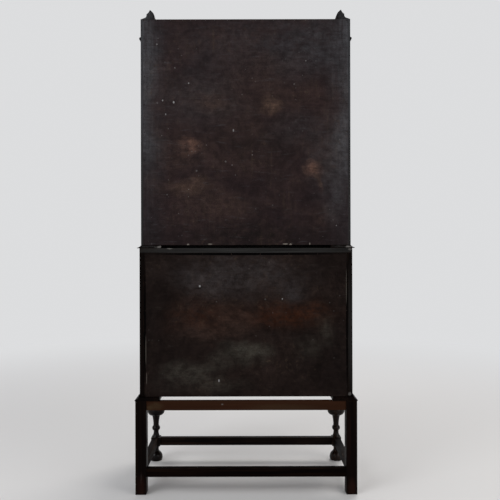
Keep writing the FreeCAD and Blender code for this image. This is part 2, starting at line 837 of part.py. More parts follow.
def left_door():
    """The left door: frame, glass, lead on both faces and brass, and what its hinges need in the case."""
    x0 = -case_inner + door_gap
    x1 = -door_meeting_gap / 2
    z0 = door_z + door_gap
    z1 = frieze_z - door_gap
    y0 = case_front_y
    y1 = y0 + door_thickness
    sight_x = (x0 + door_stile_width, x1 - door_stile_width)
    sight_z = (z0 + door_bottom_rail_height, z1 - door_top_rail_height)
    glass_y = (y0 + y1 - glass_thickness) / 2
    groove = glass_groove_depth
    glass = block(sight_x[0] - groove, sight_x[1] + groove, glass_y, glass_y + glass_thickness,
                  sight_z[0] - groove, sight_z[1] + groove)
    frame = [
        block(x0, sight_x[0], y0, y1, z0, z1),
        block(sight_x[1], x1, y0, y1, z0, z1),
        block(*sight_x, y0, y1, z0, sight_z[0]),
        block(*sight_x, y0, y1, sight_z[1], z1),
    ]
    frame = [piece.cut(glass) for piece in frame]
    lead = lead_lattice(*sight_x, *sight_z, glass_y - came_thickness)
    inner_lead = lead.translated(Vector(0, came_thickness + glass_thickness, 0))
    pull_seat = Vector(x1 - door_stile_width / 2, y0, z0 + door_knob_height)
    pull = knob(pull_seat, door_knob_radius, door_knob_length)
    door = {"frame": frame, "glass": [glass], "lead": [lead, inner_lead], "brass": [pull]}

    fixed_leaves = []
    sockets = []
    for z in (z0 + door_hinge_inset, z1 - door_hinge_inset - hinge_length):
        leaf_back = y1 - hinge_leaf_margin
        leaf_top = z + hinge_length
        fixed_plate = block(-case_inner - hinge_leaf_thickness, -case_inner, y0, leaf_back, z, leaf_top)
        moving_plate = block(x0, x0 + hinge_leaf_thickness, y0, leaf_back, z, leaf_top)
        fixed, moving, room = hinge(Vector(-case_inner, y0, z), Vector(0, 0, 1), fixed_plate, moving_plate)
        frame[0] = frame[0].cut([moving_plate, room])
        door["brass"].append(moving)
        fixed_leaves.append(fixed)
        sockets += [fixed_plate, room]

    # The rails and the stiles share the faces at which they meet, at any size of the door
    met_frame, _ = frame[0].generalFuse(frame[1:])
    door["frame"] = met_frame.Solids
    return door, fixed_leaves, sockets


def build_doors():
    """Both doors. Returns the sockets that the left case side needs for its hinge leaves."""
    door, fixed_leaves, sockets = left_door()
    plate = escutcheon()
    plate.translate(Vector(door_meeting_gap / 2 + door_stile_width / 2, case_front_y,
                           door_z + door_gap + door_knob_height - escutcheon_height))
    for part, pieces in door.items():
        save("door_left_" + part, *pieces)
        others = [mirrored(piece) for piece in pieces]
        if part == "brass":
            others.append(plate)
        save("door_right_" + part, *others)
    save("door_hinge_fixed_leaves", *fixed_leaves, *[mirrored(leaf) for leaf in fixed_leaves])
    return sockets


def build_shelves():
    """The shelves on their pegs. Returns the peg holes of the left case side."""
    front_y = case_front_y + door_thickness + shelf_front_gap
    rear_y = case_panel_y - shelf_side_gap
    half = case_inner - shelf_side_gap
    shelves = []
    pegs = []
    holes = []
    for index in range(1, shelf_count + 1):
        z = door_z + index * shelf_spacing
        shelves.append(block(-half, half, front_y, rear_y, z, z + shelf_thickness))
        for y in (front_y + peg_inset, rear_y - peg_inset):
            start = Vector(-case_inner - peg_depth, y, z - peg_radius)
            peg = Part.makeCylinder(peg_radius, peg_depth + peg_reach, start, Vector(1, 0, 0))
            pegs += [peg, mirrored(peg)]
            hole_radius = peg_radius + peg_hole_clearance
            holes.append(Part.makeCylinder(hole_radius, peg_depth, start, Vector(1, 0, 0)))
    save("shelves", *shelves)
    save("shelf_pegs", *pegs)
    return holes


def build_bookcase_case(sockets):
    side = block(-case_half, -case_inner, case_front_y, bureau_back_y, case_z, crown_z)
    panel_half = case_half - bookcase_back_rebate
    panel = block(-panel_half, panel_half, case_panel_y, bureau_back_y, case_z, crown_z)
    side = side.cut([panel] + sockets)
    save("bookcase_side_left", side)
    save("bookcase_side_right", mirrored(side))
    save("bookcase_back_panel", panel)
    save("bookcase_bottom", block(-case_inner, case_inner, case_front_y, case_panel_y, case_z, door_z))
    save("bookcase_top", block(-case_inner, case_inner, case_front_y, case_panel_y, case_top_z, crown_z))
    frieze_back_y = case_front_y + frieze_thickness
    save("frieze", block(-case_inner, case_inner, case_front_y, frieze_back_y, frieze_z, case_top_z))


os.makedirs("parts", exist_ok=True)
build_stand()
build_bureau_case()
build_flap()
build_lopers()
build_long_drawers()
build_desk_interior()
build_waist()
build_cornice()
build_bookcase_case(build_doors() + build_shelves())
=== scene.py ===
# %% [markdown]
# A bureau bookcase in near-black oak, seen from behind. The frame that this script loads already holds
# every board, hinge and handle at its real size, so the work here is the finish of each surface and the
# small trim that a joiner adds last. Lengths are metres, +Z is up, and the front of the piece looks
# towards -Y.

# %% Load the frame and keep its box
import json
import math

import bpy
from mathutils import Matrix, Vector


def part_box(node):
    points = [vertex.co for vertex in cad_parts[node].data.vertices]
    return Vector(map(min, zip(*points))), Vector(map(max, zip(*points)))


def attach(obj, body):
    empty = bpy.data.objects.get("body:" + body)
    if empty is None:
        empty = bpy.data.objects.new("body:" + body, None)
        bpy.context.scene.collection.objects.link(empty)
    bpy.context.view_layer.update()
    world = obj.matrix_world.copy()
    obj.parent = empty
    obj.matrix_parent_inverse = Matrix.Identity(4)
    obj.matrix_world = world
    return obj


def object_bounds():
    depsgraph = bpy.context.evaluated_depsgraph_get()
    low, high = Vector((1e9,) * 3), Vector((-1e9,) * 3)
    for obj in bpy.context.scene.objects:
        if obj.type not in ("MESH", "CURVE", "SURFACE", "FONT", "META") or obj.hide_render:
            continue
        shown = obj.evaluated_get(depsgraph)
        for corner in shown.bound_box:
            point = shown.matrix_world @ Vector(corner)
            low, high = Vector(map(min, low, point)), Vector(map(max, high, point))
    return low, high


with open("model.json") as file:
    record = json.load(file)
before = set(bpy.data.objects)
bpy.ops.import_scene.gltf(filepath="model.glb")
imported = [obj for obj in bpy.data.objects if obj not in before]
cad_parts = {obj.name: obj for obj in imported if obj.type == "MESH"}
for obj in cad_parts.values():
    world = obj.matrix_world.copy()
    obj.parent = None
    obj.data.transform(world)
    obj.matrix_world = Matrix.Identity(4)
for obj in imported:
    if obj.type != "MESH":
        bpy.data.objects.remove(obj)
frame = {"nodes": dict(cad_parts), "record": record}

cad_low, cad_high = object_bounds()
nodes = frame["nodes"]
print("nodes", len(nodes), "box", [round(value, 4) for value in (*cad_low, *cad_high)])

# %% [markdown]
# The camera stands behind the piece, at about half its height, and looks straight at it. Tilting the
# camera would make the upright edges lean, so the view is framed by shifting the sensor instead, as a view
# camera does. A turn of a fraction of a degree about the lens gives the slight lean of a hand-held shot.

# %% Camera
IMAGE_SIZE = 500
FOCAL_PIXELS = 611.5
SENSOR_WIDTH = 36.0
HORIZON_PIXEL = 249.0
CENTRE_PIXEL = 244.7
CAMERA_HEIGHT = 1.041
CAMERA_DISTANCE = 2.59
CAMERA_SIDE = 0.005
CAMERA_ROLL = math.radians(0.12)

camera_data = bpy.data.cameras.new("photo_camera")
camera_data.sensor_width = SENSOR_WIDTH
camera_data.lens = FOCAL_PIXELS / IMAGE_SIZE * SENSOR_WIDTH
camera_data.shift_x = (IMAGE_SIZE / 2 - CENTRE_PIXEL) / IMAGE_SIZE
camera_data.shift_y = (HORIZON_PIXEL - IMAGE_SIZE / 2) / IMAGE_SIZE
camera = bpy.data.objects.new("photo_camera", camera_data)
bpy.context.scene.collection.objects.link(camera)
camera.location = (CAMERA_SIDE, cad_high.y + CAMERA_DISTANCE, CAMERA_HEIGHT)
camera.rotation_euler = (math.pi / 2, CAMERA_ROLL, math.pi)
bpy.context.scene.camera = camera
print("camera", tuple(round(value, 3) for value in camera.location), "lens", round(camera_data.lens, 2))

# %% [markdown]
# Every finish is a small tree of nodes that reads the object's own coordinates, so it stays on the wood
# when a door swings or a drawer slides. A painted picture would need unwrapping on sixty pieces. Noise
# needs none, and it never repeats. The first helpers make the nodes: a dictionary says what goes into each
# input, either a fixed value or the output of another node.

# %% Helpers that make nodes
def fill(tree, node, values):
    """Gives inputs of a node fixed values, or joins other nodes' outputs to them."""
    for name, value in values.items():
        if isinstance(value, bpy.types.NodeSocket):
            tree.links.new(value, node.inputs[name])
        else:
            node.inputs[name].default_value = value


def make(tree, kind, values, **settings):
    """A new node of one kind. Its settings come first, because they decide which inputs it has."""
    node = tree.nodes.new("ShaderNode" + kind)
    for name, value in settings.items():
        setattr(node, name, value)
    fill(tree, node, values)
    return node


def new_finish(name):
    """A new material with its node tree, its surface shader and the piece's own coordinates in metres."""
    finish = bpy.data.materials.new(name)
    finish.use_nodes = True
    tree = finish.node_tree
    return finish, tree, tree.nodes["Principled BSDF"], make(tree, "TexCoord", {}).outputs["Object"]


print("node helpers ready")

# %% [markdown]
# All finishes share a few patterns. Cloudy noise makes figure, film and wear. A smooth step picks out the
# part of it that is to show, and a mix lays one colour over another there. A bump turns the same pattern
# into pores and pebbles that are far too fine to model.

# %% Helpers for patterns
NOISE_SPAN = (0.3, 0.7)  # most of the noise lies between these


def calculate(tree, operation, first, second=0.0):
    """One sum on numbers."""
    return make(tree, "Math", {0: first, 1: second}, operation=operation).outputs[0]


def product(tree, first, second):
    """One number times another."""
    return calculate(tree, "MULTIPLY", first, second)


def scaled(tree, vector, scale, shift=(0, 0, 0)):
    """Coordinates multiplied by a scale and then moved."""
    return make(tree, "Mapping", {"Vector": vector, "Scale": scale, "Location": shift}).outputs["Vector"]


def noise(tree, vector, scale=1.0, detail=3.0, roughness=0.55, distortion=0.0):
    """Cloudy noise from 0 to 1."""
    values = {"Scale": scale, "Detail": detail, "Roughness": roughness, "Distortion": distortion}
    return make(tree, "TexNoise", {"Vector": vector, **values}).outputs["Fac"]


def spread(tree, value, low, high, to_low=0.0, to_high=1.0):
    """A smooth step: the range from low to high becomes to_low to to_high."""
    values = {"Value": value, "From Min": low, "From Max": high, "To Min": to_low, "To Max": to_high}
    return make(tree, "MapRange", values, interpolation_type="SMOOTHSTEP").outputs["Result"]


def blend(tree, amount, first, second, mode="MIX"):
    """One colour over another."""
    return make(tree, "Mix", {0: amount, 6: first, 7: second}, data_type="RGBA", blend_type=mode).outputs[2]


def relief(tree, shader, height, strength, depth):
    """Fine relief in the surface, from a height between 0 and 1."""
    node = make(tree, "Bump", {"Height": height, "Strength": strength, "Distance": depth})
    fill(tree, shader, {"Normal": node.outputs["Normal"]})


def distance(tree, vector):
    """How far coordinates are from their origin."""
    return make(tree, "VectorMath", {0: vector}, operation="LENGTH").outputs["Value"]


print("pattern helpers ready")

# %% [markdown]
# A dark piece needs broad, soft light: what shows on it is mostly the reflection of its surroundings. The
# world lights it evenly from all sides. The floor is plain and pale, and keeps the shadow that sets the
# feet on the ground. Further off it fades into the colour of the backdrop, so that no horizon shows. Only
# the rays that show a background see that fade. The rays that light the piece see the plain floor.

# %% Floor and world
FLOOR_REACH = 9.0
FADE_REACH = (1.2, 4.5)
FLOOR_COLOUR = (0.62, 0.605, 0.59, 1)
FLOOR_ROUGHNESS = 0.7
WORLD_COLOUR = (0.93, 0.95, 1.0, 1)
WORLD_STRENGTH = 0.62
BACKGROUND_COLOUR = (0.72, 0.725, 0.735, 1)


def seen_rays(tree):
    """1 for the rays that show a background: from the camera, off metal or through glass."""
    rays = make(tree, "LightPath", {}).outputs
    by_way = calculate(tree, "MAXIMUM", rays["Is Glossy Ray"], rays["Is Transmission Ray"])
    return calculate(tree, "MAXIMUM", rays["Is Camera Ray"], by_way)


def mixed(tree, amount, first, second, output):
    """One shader fading into another, joined to the output of its tree."""
    node = make(tree, "MixShader", {0: amount, 1: first.outputs[0], 2: second.outputs[0]})
    fill(tree, tree.nodes[output], {"Surface": node.outputs[0]})


bpy.context.scene.view_settings.view_transform = "Standard"
world = bpy.data.worlds.new("studio")
bpy.context.scene.world = world
world.use_nodes = True
tree = world.node_tree
even_light = tree.nodes["Background"]
fill(tree, even_light, {"Color": WORLD_COLOUR, "Strength": WORLD_STRENGTH})
backdrop = make(tree, "Background", {"Color": BACKGROUND_COLOUR})
mixed(tree, seen_rays(tree), even_light, backdrop, "World Output")

bpy.ops.object.select_all(action="DESELECT")
bpy.ops.mesh.primitive_plane_add(size=2 * FLOOR_REACH, location=(0, 0, cad_low.z))
floor = bpy.context.object
floor.name = "studio_floor"
floor_finish, tree, shader, vector = new_finish("pale_floor")
fill(tree, shader, {"Base Color": FLOOR_COLOUR, "Roughness": FLOOR_ROUGHNESS})
far_away = spread(tree, distance(tree, vector), *FADE_REACH)
far_floor = make(tree, "Emission", {"Color": BACKGROUND_COLOUR})
mixed(tree, product(tree, far_away, seen_rays(tree)), shader, far_floor, "Material Output")
floor.data.materials.append(floor_finish)
print("floor", [round(value, 2) for value in floor.dimensions], "world strength", WORLD_STRENGTH)

# %% [markdown]
# The lamps are large and square, because a large lamp makes soft shadows, as a window does. Two stand
# behind the piece, high to the left and lower to the right, and give the boards a gentle gradient. A third
# stands high in front, so that its reflection stays above the glass doors. Each is turned to the middle
# of the piece by a track quaternion, which saves finding its angles by hand.

# %% Lamps
def softbox(name, place, aim, size, watts, colour):
    """A square lamp at a place, turned towards a point of the piece."""
    lamp = bpy.data.lights.new(name, "AREA")
    lamp.size = size
    lamp.energy = watts
    lamp.color = colour
    holder = bpy.data.objects.new(name, lamp)
    bpy.context.scene.collection.objects.link(holder)
    holder.location = place
    holder.rotation_euler = (Vector(aim) - Vector(place)).to_track_quat("-Z", "Y").to_euler()


softbox("window_light", (2.6, 2.6, 2.7), (0, 0, 1.1), size=1.8, watts=60, colour=(0.94, 0.97, 1.0))
softbox("room_light", (-2.8, 2.2, 1.9), (0, 0, 1.0), size=2.2, watts=36, colour=(1.0, 0.97, 0.93))
softbox("front_light", (-1.6, -2.9, 4.5), (0, 0, 1.0), size=2.4, watts=105, colour=(1.0, 0.98, 0.95))
print("lamps", len(bpy.data.lights))

# %% [markdown]
# Oak shows its grain along each board, so a finish has to know which way the board runs. The coordinates
# are put in a new order, with the grain first, and then stretched: slow change along the grain and quick
# change across it turns plain noise into streaks. On a mitred moulding or a door frame the direction
# changes at the joint, where a mask built from the joint's own line picks the right order for each side.

# %% Grain directions
def ordered(tree, vector, order):
    """Coordinates in another order, such as "zxy" with the grain along z."""
    split = make(tree, "SeparateXYZ", {0: vector}).outputs
    places = {place: split["xyz".index(axis)] for place, axis in enumerate(order)}
    return make(tree, "CombineXYZ", places).outputs[0]


def coordinate(tree, vector, axis):
    """One coordinate by its letter."""
    return make(tree, "SeparateXYZ", {0: vector}).outputs["xyz".index(axis)]


def either(tree, mask, first, second):
    """The first vector where the mask is 0 and the second where it is 1."""
    return make(tree, "Mix", {0: mask, 4: first, 5: second}, data_type="VECTOR").outputs[1]


def along(axis):
    """Grain along one axis of the piece."""
    order = {"x": "xyz", "y": "yzx", "z": "zxy"}[axis]
    return lambda tree, vector: ordered(tree, vector, order)


def mitred(node):
    """Grain along the two side members and the front member of a moulding, split at the mitres."""
    low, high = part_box(node)

    def direction(tree, vector):
        from_middle = calculate(tree, "ABSOLUTE", coordinate(tree, vector, "x"))
        from_side = calculate(tree, "SUBTRACT", high.x, from_middle)
        from_front = calculate(tree, "SUBTRACT", coordinate(tree, vector, "y"), low.y)
        on_side = calculate(tree, "LESS_THAN", from_side, from_front)
        return either(tree, on_side, ordered(tree, vector, "xyz"), ordered(tree, vector, "yzx"))

    return direction


def framed(opening_node):
    """Grain up the stiles and along the rails of a door, split at the edges of its opening."""
    low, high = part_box(opening_node)

    def direction(tree, vector):
        across = calculate(tree, "SUBTRACT", coordinate(tree, vector, "x"), (low.x + high.x) / 2)
        from_middle = calculate(tree, "ABSOLUTE", across)
        on_stile = calculate(tree, "GREATER_THAN", from_middle, (high.x - low.x) / 2)
        return either(tree, on_stile, ordered(tree, vector, "xyz"), ordered(tree, vector, "zxy"))

    return direction


print("grain directions ready")

# %% [markdown]
# A century leaves marks: glows where the stain has worn thin, smears, scuffs, chips and dots of paint. The
# same spots also paint a grey sheen and the shadow in a gap. A glow fades slowly and has no outline, so it
# is a smooth spot whose coordinates wander a little, and finer noise breaks it up as the pores of the wood
# do. A chip or a dot is the same spot with a sharp rim.

# %% Marks on a board
def wandering(tree, vector, scale, reach):
    """Coordinates pushed about by slow noise, so that what is drawn with them loses its regular shape."""
    push = make(tree, "TexNoise", {"Vector": vector, "Scale": scale, "Detail": 4.0}).outputs["Color"]
    centred = make(tree, "VectorMath", {0: vector, 1: (reach,) * 3}, operation="SUBTRACT").outputs["Vector"]
    values = {0: push, 1: (2 * reach,) * 3, 2: centred}
    return make(tree, "VectorMath", values, operation="MULTIPLY_ADD").outputs["Vector"]


def spot(tree, vector, across, up, width, height, core):
    """1 at a place on the board and 0 past its half size. A core near 1 gives it a sharp rim."""
    centred = scaled(tree, vector, (1 / width, 0, 1 / height), (-across / width, 0, -up / height))
    return spread(tree, distance(tree, centred), 1.0, core)


def marked(tree, vector, colour, marks, core=0.0, share=1.0):
    """A colour with marks over it. Each has a place across and up, a half size, a strength and a colour: a
    stain, or in some rows painted shadow or sheen.
    """
    for *outline, strength, stain in marks:
        amount = product(tree, spot(tree, vector, *outline, core), strength)
        colour = blend(tree, product(tree, amount, share), colour, stain)
    return colour


def splashes(tree, vector, scale, share, radius):
    """Round specks, in a share of the cells of a loose grid."""
    values = {"Vector": ordered(tree, vector, "xzy"), "Scale": scale}
    cells = make(tree, "TexVoronoi", values, voronoi_dimensions="2D").outputs
    chance = make(tree, "SeparateColor", {0: cells["Color"]}).outputs
    chosen = calculate(tree, "LESS_THAN", chance[0], share)
    size = product(tree, chance[1], radius * scale)
    inside = calculate(tree, "LESS_THAN", cells["Distance"], size)
    return product(tree, product(tree, chosen, inside), chance[2])


print("marks ready")

# %% [markdown]
# The show wood is oak, stained almost black and waxed for a hundred years. Stain sinks deepest into the
# open pores, so the streaks stay dark and the dense wood between them shows a little brown. The wax
# leaves a dull shine that changes from place to place, and it ends towards the back, which soot has
# dulled. A second finish, for the rounded edges, is rubbed through to the brown. Scuffs are only on the
# ends that face backwards.

# %% Oak
joints = {joint["name"]: joint for joint in frame["record"]["behaviour"]["joints"]}
fall_hinge = Vector(joints["flap_fall"]["pos_m"])

FIGURE_SCALE = (0.9, 13.0, 13.0)
LINE_SCALE = (3.0, 150.0, 150.0)
FIBRE_SCALE = (16.0, 900.0, 900.0)
WAX_ENDS = (0.235, 0.15)
UNWAXED_SHARE = 0.12
BACK_FACES = (0.22, 0.227)
SOOTED_SHARE = 0.75
FRONT_STAIN_DEPTH = (0.012, 0.01)
RAGGED_WANDER = (90.0, 0.006)


def oak(name, direction, dark, light, worn, shine, roughness, edge=False, scuffs_and_sheen=(), front_stain=None):
    """Stained oak. An edge is the same wood, rubbed through in places to the worn colour."""
    finish, tree, shader, vector = new_finish(name)
    depth = coordinate(tree, vector, "y")
    grain = direction(tree, vector)
    figure = noise(tree, scaled(tree, grain, FIGURE_SCALE), distortion=0.8)
    lines = noise(tree, scaled(tree, grain, LINE_SCALE), detail=4.0, roughness=0.65)
    fibres = noise(tree, scaled(tree, grain, FIBRE_SCALE), detail=2.0)
    streaks = product(tree, spread(tree, figure, *NOISE_SPAN), spread(tree, lines, 0.35, 0.7))
    colour = blend(tree, streaks, dark, light)
    cloud = noise(tree, vector, scale=4.0, detail=5.0, roughness=0.6)
    colour = blend(tree, spread(tree, cloud, 0.45, 0.75, 0.0, 0.5), colour, dark)
    if edge:
        rubbed = noise(tree, vector, scale=22.0, detail=6.0, roughness=0.7)
        colour = blend(tree, spread(tree, rubbed, 0.46, 0.66), colour, worn)
    sooted = spread(tree, depth, *WAX_ENDS, SOOTED_SHARE, 0.0)
    colour = blend(tree, sooted, colour, dark)
    if front_stain:
        from_front = calculate(tree, "SUBTRACT", depth, fall_hinge.y)
        colour = blend(tree, spread(tree, from_front, *FRONT_STAIN_DEPTH), colour, front_stain)
    if scuffs_and_sheen:
        ragged = wandering(tree, vector, *RAGGED_WANDER)
        in_grain = spread(tree, lines, 0.32, 0.62, 0.45, 1.0)
        on_back = product(tree, spread(tree, depth, *BACK_FACES), in_grain)
        colour = marked(tree, ragged, colour, scuffs_and_sheen, core=0.3, share=on_back)
    rough = spread(tree, cloud, *NOISE_SPAN, roughness - 0.1, roughness + 0.12)
    waxed = spread(tree, depth, *WAX_ENDS, UNWAXED_SHARE * shine, shine)
    fill(tree, shader, {"Base Color": colour, "Roughness": rough, "Specular IOR Level": waxed})
    relief(tree, shader, calculate(tree, "ADD", lines, fibres), strength=0.35, depth=0.0003)
    return finish


print("oak recipe ready, fall hinge at", [round(value, 4) for value in fall_hinge])

# %% [markdown]
# One recipe serves every oak piece, and only its colours and its polish change. The turned legs took a
# finer polish than the boards. The stretchers, where feet rested, and the dusty top are dull. The oak
# inside is paler, and the drawer linings were never stained, but where the edge of a lining comes to the
# front, it wears the stain of the rest. Each pair of finishes is made once for each direction of grain.

# %% Woods
WOODS = {
    "black_oak": dict(dark=(0.0019, 0.001, 0.0009, 1), light=(0.023, 0.012, 0.007, 1),
                      worn=(0.052, 0.026, 0.0135, 1), shine=0.16, roughness=0.42),
    "inner_oak": dict(dark=(0.03, 0.016, 0.009, 1), light=(0.085, 0.046, 0.023, 1),
                      worn=(0.13, 0.075, 0.038, 1), shine=0.25, roughness=0.5),
    "lining_oak": dict(dark=(0.16, 0.092, 0.046, 1), light=(0.3, 0.19, 0.1, 1),
                       worn=(0.36, 0.25, 0.15, 1), shine=0.3, roughness=0.6),
    "rail_oak": dict(dark=(0.0235, 0.0092, 0.0046, 1), light=(0.062, 0.024, 0.0115, 1),
                     worn=(0.066, 0.034, 0.018, 1), shine=0.14, roughness=0.55),
}
WOODS["turned_oak"] = dict(WOODS["black_oak"], shine=0.13, roughness=0.28)
WOODS["trodden_oak"] = dict(WOODS["black_oak"], shine=0.05, roughness=0.62)
WOODS["dusty_oak"] = dict(WOODS["black_oak"], shine=0.04, roughness=0.75)
WOODS["lipped_oak"] = dict(WOODS["lining_oak"], front_stain=WOODS["black_oak"]["dark"])
made_oaks = {}


def oak_pair(wood, grain, direction=None, scuffs_and_sheen=()):
    """The face and the edge finish of a wood in one grain, made once. An axis needs no direction."""
    key = f"{wood}_{grain}"
    if key not in made_oaks:
        recipe = dict(WOODS[wood], direction=direction or along(grain), scuffs_and_sheen=scuffs_and_sheen)
        made_oaks[key] = (oak(key, **recipe), oak(key + "_edge", edge=True, **recipe))
    return made_oaks[key]


print("woods", len(WOODS))

# %% [markdown]
# The two back boards were never meant to be seen. They are thin and brushed with a thin dark stain, so
# one recipe makes both: a ground colour with warmer clouds, the strokes of the brush, a grey sheen painted
# in towards the edges, and marks on top. The marks are only on the side that stood towards a wall, and end
# inside the board.

# %% Stained boards
LOOSE_WANDER = (7.0, 0.06)
STEADY_WANDER = (9.0, 0.012)
MOTTLE_SCALE = (30, 1, 48)
LEVEL_SCALE = (14, 1, 130)
UPRIGHT_SCALE = (95, 1, 7)
BLOTCH_RANGE = (0.73, 1.31)
FINE_SPECKS = (70, 0.05, 0.003)
LARGE_SPECKS = (24, 0.05, 0.0042)
PAINT_DOT = (0.3, 0.29, 0.28, 1)
OCHRE = (0.052, 0.036, 0.024, 1)


def back_board(board, ground, warm, sheen_and_strokes, sheen_edges, sheen_heights, glows, dots, figured, specked, shine):
    """A stained board: a ground colour, warmer clouds, brush strokes, a painted sheen, glows and paint dots.
    """
    finish, tree, shader, vector = new_finish(f"{board}_back_stain")
    low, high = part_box(f"{board}_back_panel")
    on_back = spread(tree, coordinate(tree, vector, "y"), low.y, high.y)
    loose = wandering(tree, vector, *LOOSE_WANDER)
    steady = wandering(tree, vector, *STEADY_WANDER)
    clouds = noise(tree, vector, scale=4.0, detail=6.0, roughness=0.6)
    mottle = noise(tree, scaled(tree, vector, MOTTLE_SCALE), detail=6.0, roughness=0.68)
    blotches = noise(tree, loose, scale=30.0, detail=6.0, roughness=0.7)
    level_strokes = noise(tree, scaled(tree, steady, LEVEL_SCALE), detail=5.0, roughness=0.65)
    upright_strokes = noise(tree, scaled(tree, steady, UPRIGHT_SCALE), detail=4.0, roughness=0.6)

    colour = blend(tree, spread(tree, clouds, 0.38, 0.7), ground, warm)
    # Near the two upright edges and towards the top, a grey sheen is painted into the colour, streaked along
    # the upright strokes.
    height = coordinate(tree, loose, "z")
    from_middle = calculate(tree, "ABSOLUTE", coordinate(tree, loose, "x"))
    near_edge = spread(tree, from_middle, *sheen_edges)
    near_edge = product(tree, near_edge, spread(tree, height, *sheen_heights, 0.25, 1.0))
    wisps = spread(tree, upright_strokes, 0.35, 0.72, 0.45, 1.0)
    colour = blend(tree, product(tree, near_edge, wisps), colour, sheen_and_strokes)
    wear_and_sheen_share = product(tree, spread(tree, mottle, 0.3, 0.66, 0.25, 1.0), on_back)
    colour = marked(tree, loose, colour, glows, share=wear_and_sheen_share)

    colour = blend(tree, spread(tree, level_strokes, 0.52, 0.3, 0.0, 0.4), colour, ground)
    # The ridges of the level strokes turn towards the same grey, as pale brush marks.
    colour = blend(tree, spread(tree, level_strokes, 0.56, 0.8, 0.0, 0.45), colour, sheen_and_strokes)
    freckles = noise(tree, loose, scale=52.0, detail=5.0, roughness=0.7)
    in_clouds = spread(tree, clouds, 0.42, 0.62)
    freckles = product(tree, spread(tree, freckles, 0.54, 0.74), in_clouds)
    colour = blend(tree, product(tree, freckles, 0.55), colour, OCHRE)
    figure = product(tree, spread(tree, upright_strokes, 0.5, 0.85), in_clouds)
    colour = blend(tree, product(tree, figure, figured), colour, OCHRE)
    pores = noise(tree, vector, scale=260.0, detail=4.0, roughness=0.75)
    colour = blend(tree, spread(tree, pores, 0.55, 0.35, 0.0, 0.5), colour, ground)
    colour = blend(tree, 1.0, colour, spread(tree, blotches, *NOISE_SPAN, *BLOTCH_RANGE), "MULTIPLY")

    crowded = spread(tree, noise(tree, vector, scale=5.5, detail=2.0), 0.46, 0.62, 0.12, 1.0)
    fine_specks = splashes(tree, vector, *FINE_SPECKS)
    specks = calculate(tree, "MAXIMUM", fine_specks, splashes(tree, vector, *LARGE_SPECKS))
    specks = product(tree, specks, product(tree, crowded, on_back))
    colour = blend(tree, product(tree, specks, specked), colour, PAINT_DOT)
    colour = marked(tree, vector, colour, dots, core=0.6, share=on_back)
    rough = spread(tree, clouds, *NOISE_SPAN, 0.46, 0.66)
    fill(tree, shader, {"Base Color": colour, "Roughness": rough, "Specular IOR Level": shine})
    relief(tree, shader, calculate(tree, "ADD", level_strokes, pores), strength=0.3, depth=0.0004)
    return finish


print("stained board recipe ready")

# %% [markdown]
# The bookcase back is a dark, reddish black. Towards its two upright edges and its top a grey sheen is
# painted into its colour, partly as marks. Rust-coloured glows show where it has worn thin, and a brush
# left a few pale dots. A painted picture would bring its own light along, so the marks are drawn one by
# one. Each row holds a place across and up, half a width and half a height, a strength and a colour.

# %% Back of the bookcase
RUST = (0.084, 0.051, 0.036, 1)
RED_RUST = (0.116, 0.062, 0.045, 1)
UMBER = (0.046, 0.028, 0.022, 1)
# Painted sheen: the grey that the satin stain shows towards the edges and the top.
GREY_SHEEN = (0.057, 0.058, 0.062, 1)
ASH = (0.044, 0.038, 0.038, 1)
SOOT = (0.0065, 0.0046, 0.0042, 1)
OLD_PAINT = (0.22, 0.215, 0.21, 1)
CHIP = (0.16, 0.14, 0.12, 1)

bookcase_glows = [
    # The grey rows near the top and the edges paint more of the sheen.
    (-0.06, 1.905, 0.6, 0.2, 0.22, GREY_SHEEN),
    (-0.3, 1.89, 0.26, 0.18, 0.4, GREY_SHEEN),
    (0.02, 1.56, 0.34, 0.34, 0.35, UMBER),
    (0.19, 1.69, 0.27, 0.19, 0.55, ASH),
    (-0.12, 1.72, 0.3, 0.14, 0.3, UMBER),
    (-0.09, 1.83, 0.3, 0.09, 0.35, UMBER),
    (-0.22, 1.54, 0.2, 0.12, 0.4, ASH),
    (0.27, 1.45, 0.17, 0.11, 0.65, UMBER),
    (-0.35, 1.41, 0.12, 0.27, 0.6, ASH),
    (-0.11, 1.655, 0.074, 0.052, 1.0, RUST),
    (0.151, 1.662, 0.11, 0.06, 0.95, UMBER),
    (0.246, 1.472, 0.078, 0.048, 1.0, RED_RUST),
    (-0.298, 1.372, 0.052, 0.044, 1.0, RED_RUST),
    (-0.31, 1.325, 0.018, 0.052, 0.5, RUST),
    (-0.375, 1.25, 0.07, 0.16, 0.35, GREY_SHEEN),
    (0.242, 1.3, 0.15, 0.055, 0.65, RUST),
    (0.11, 1.235, 0.27, 0.085, 0.6, UMBER),
    (-0.33, 1.19, 0.11, 0.09, 0.45, UMBER),
    (-0.05, 1.47, 0.24, 0.12, 0.7, SOOT),
    (-0.08, 1.08, 0.6, 0.11, 0.95, SOOT),
    (0.06, 1.13, 0.24, 0.09, 0.65, SOOT),
    (0.41, 1.09, 0.1, 0.11, 0.65, SOOT),
    (0.44, 1.37, 0.08, 0.17, 0.75, SOOT),
    (-0.42, 1.56, 0.06, 0.33, 0.45, GREY_SHEEN),
    (0.43, 1.64, 0.07, 0.38, 0.45, GREY_SHEEN),
]
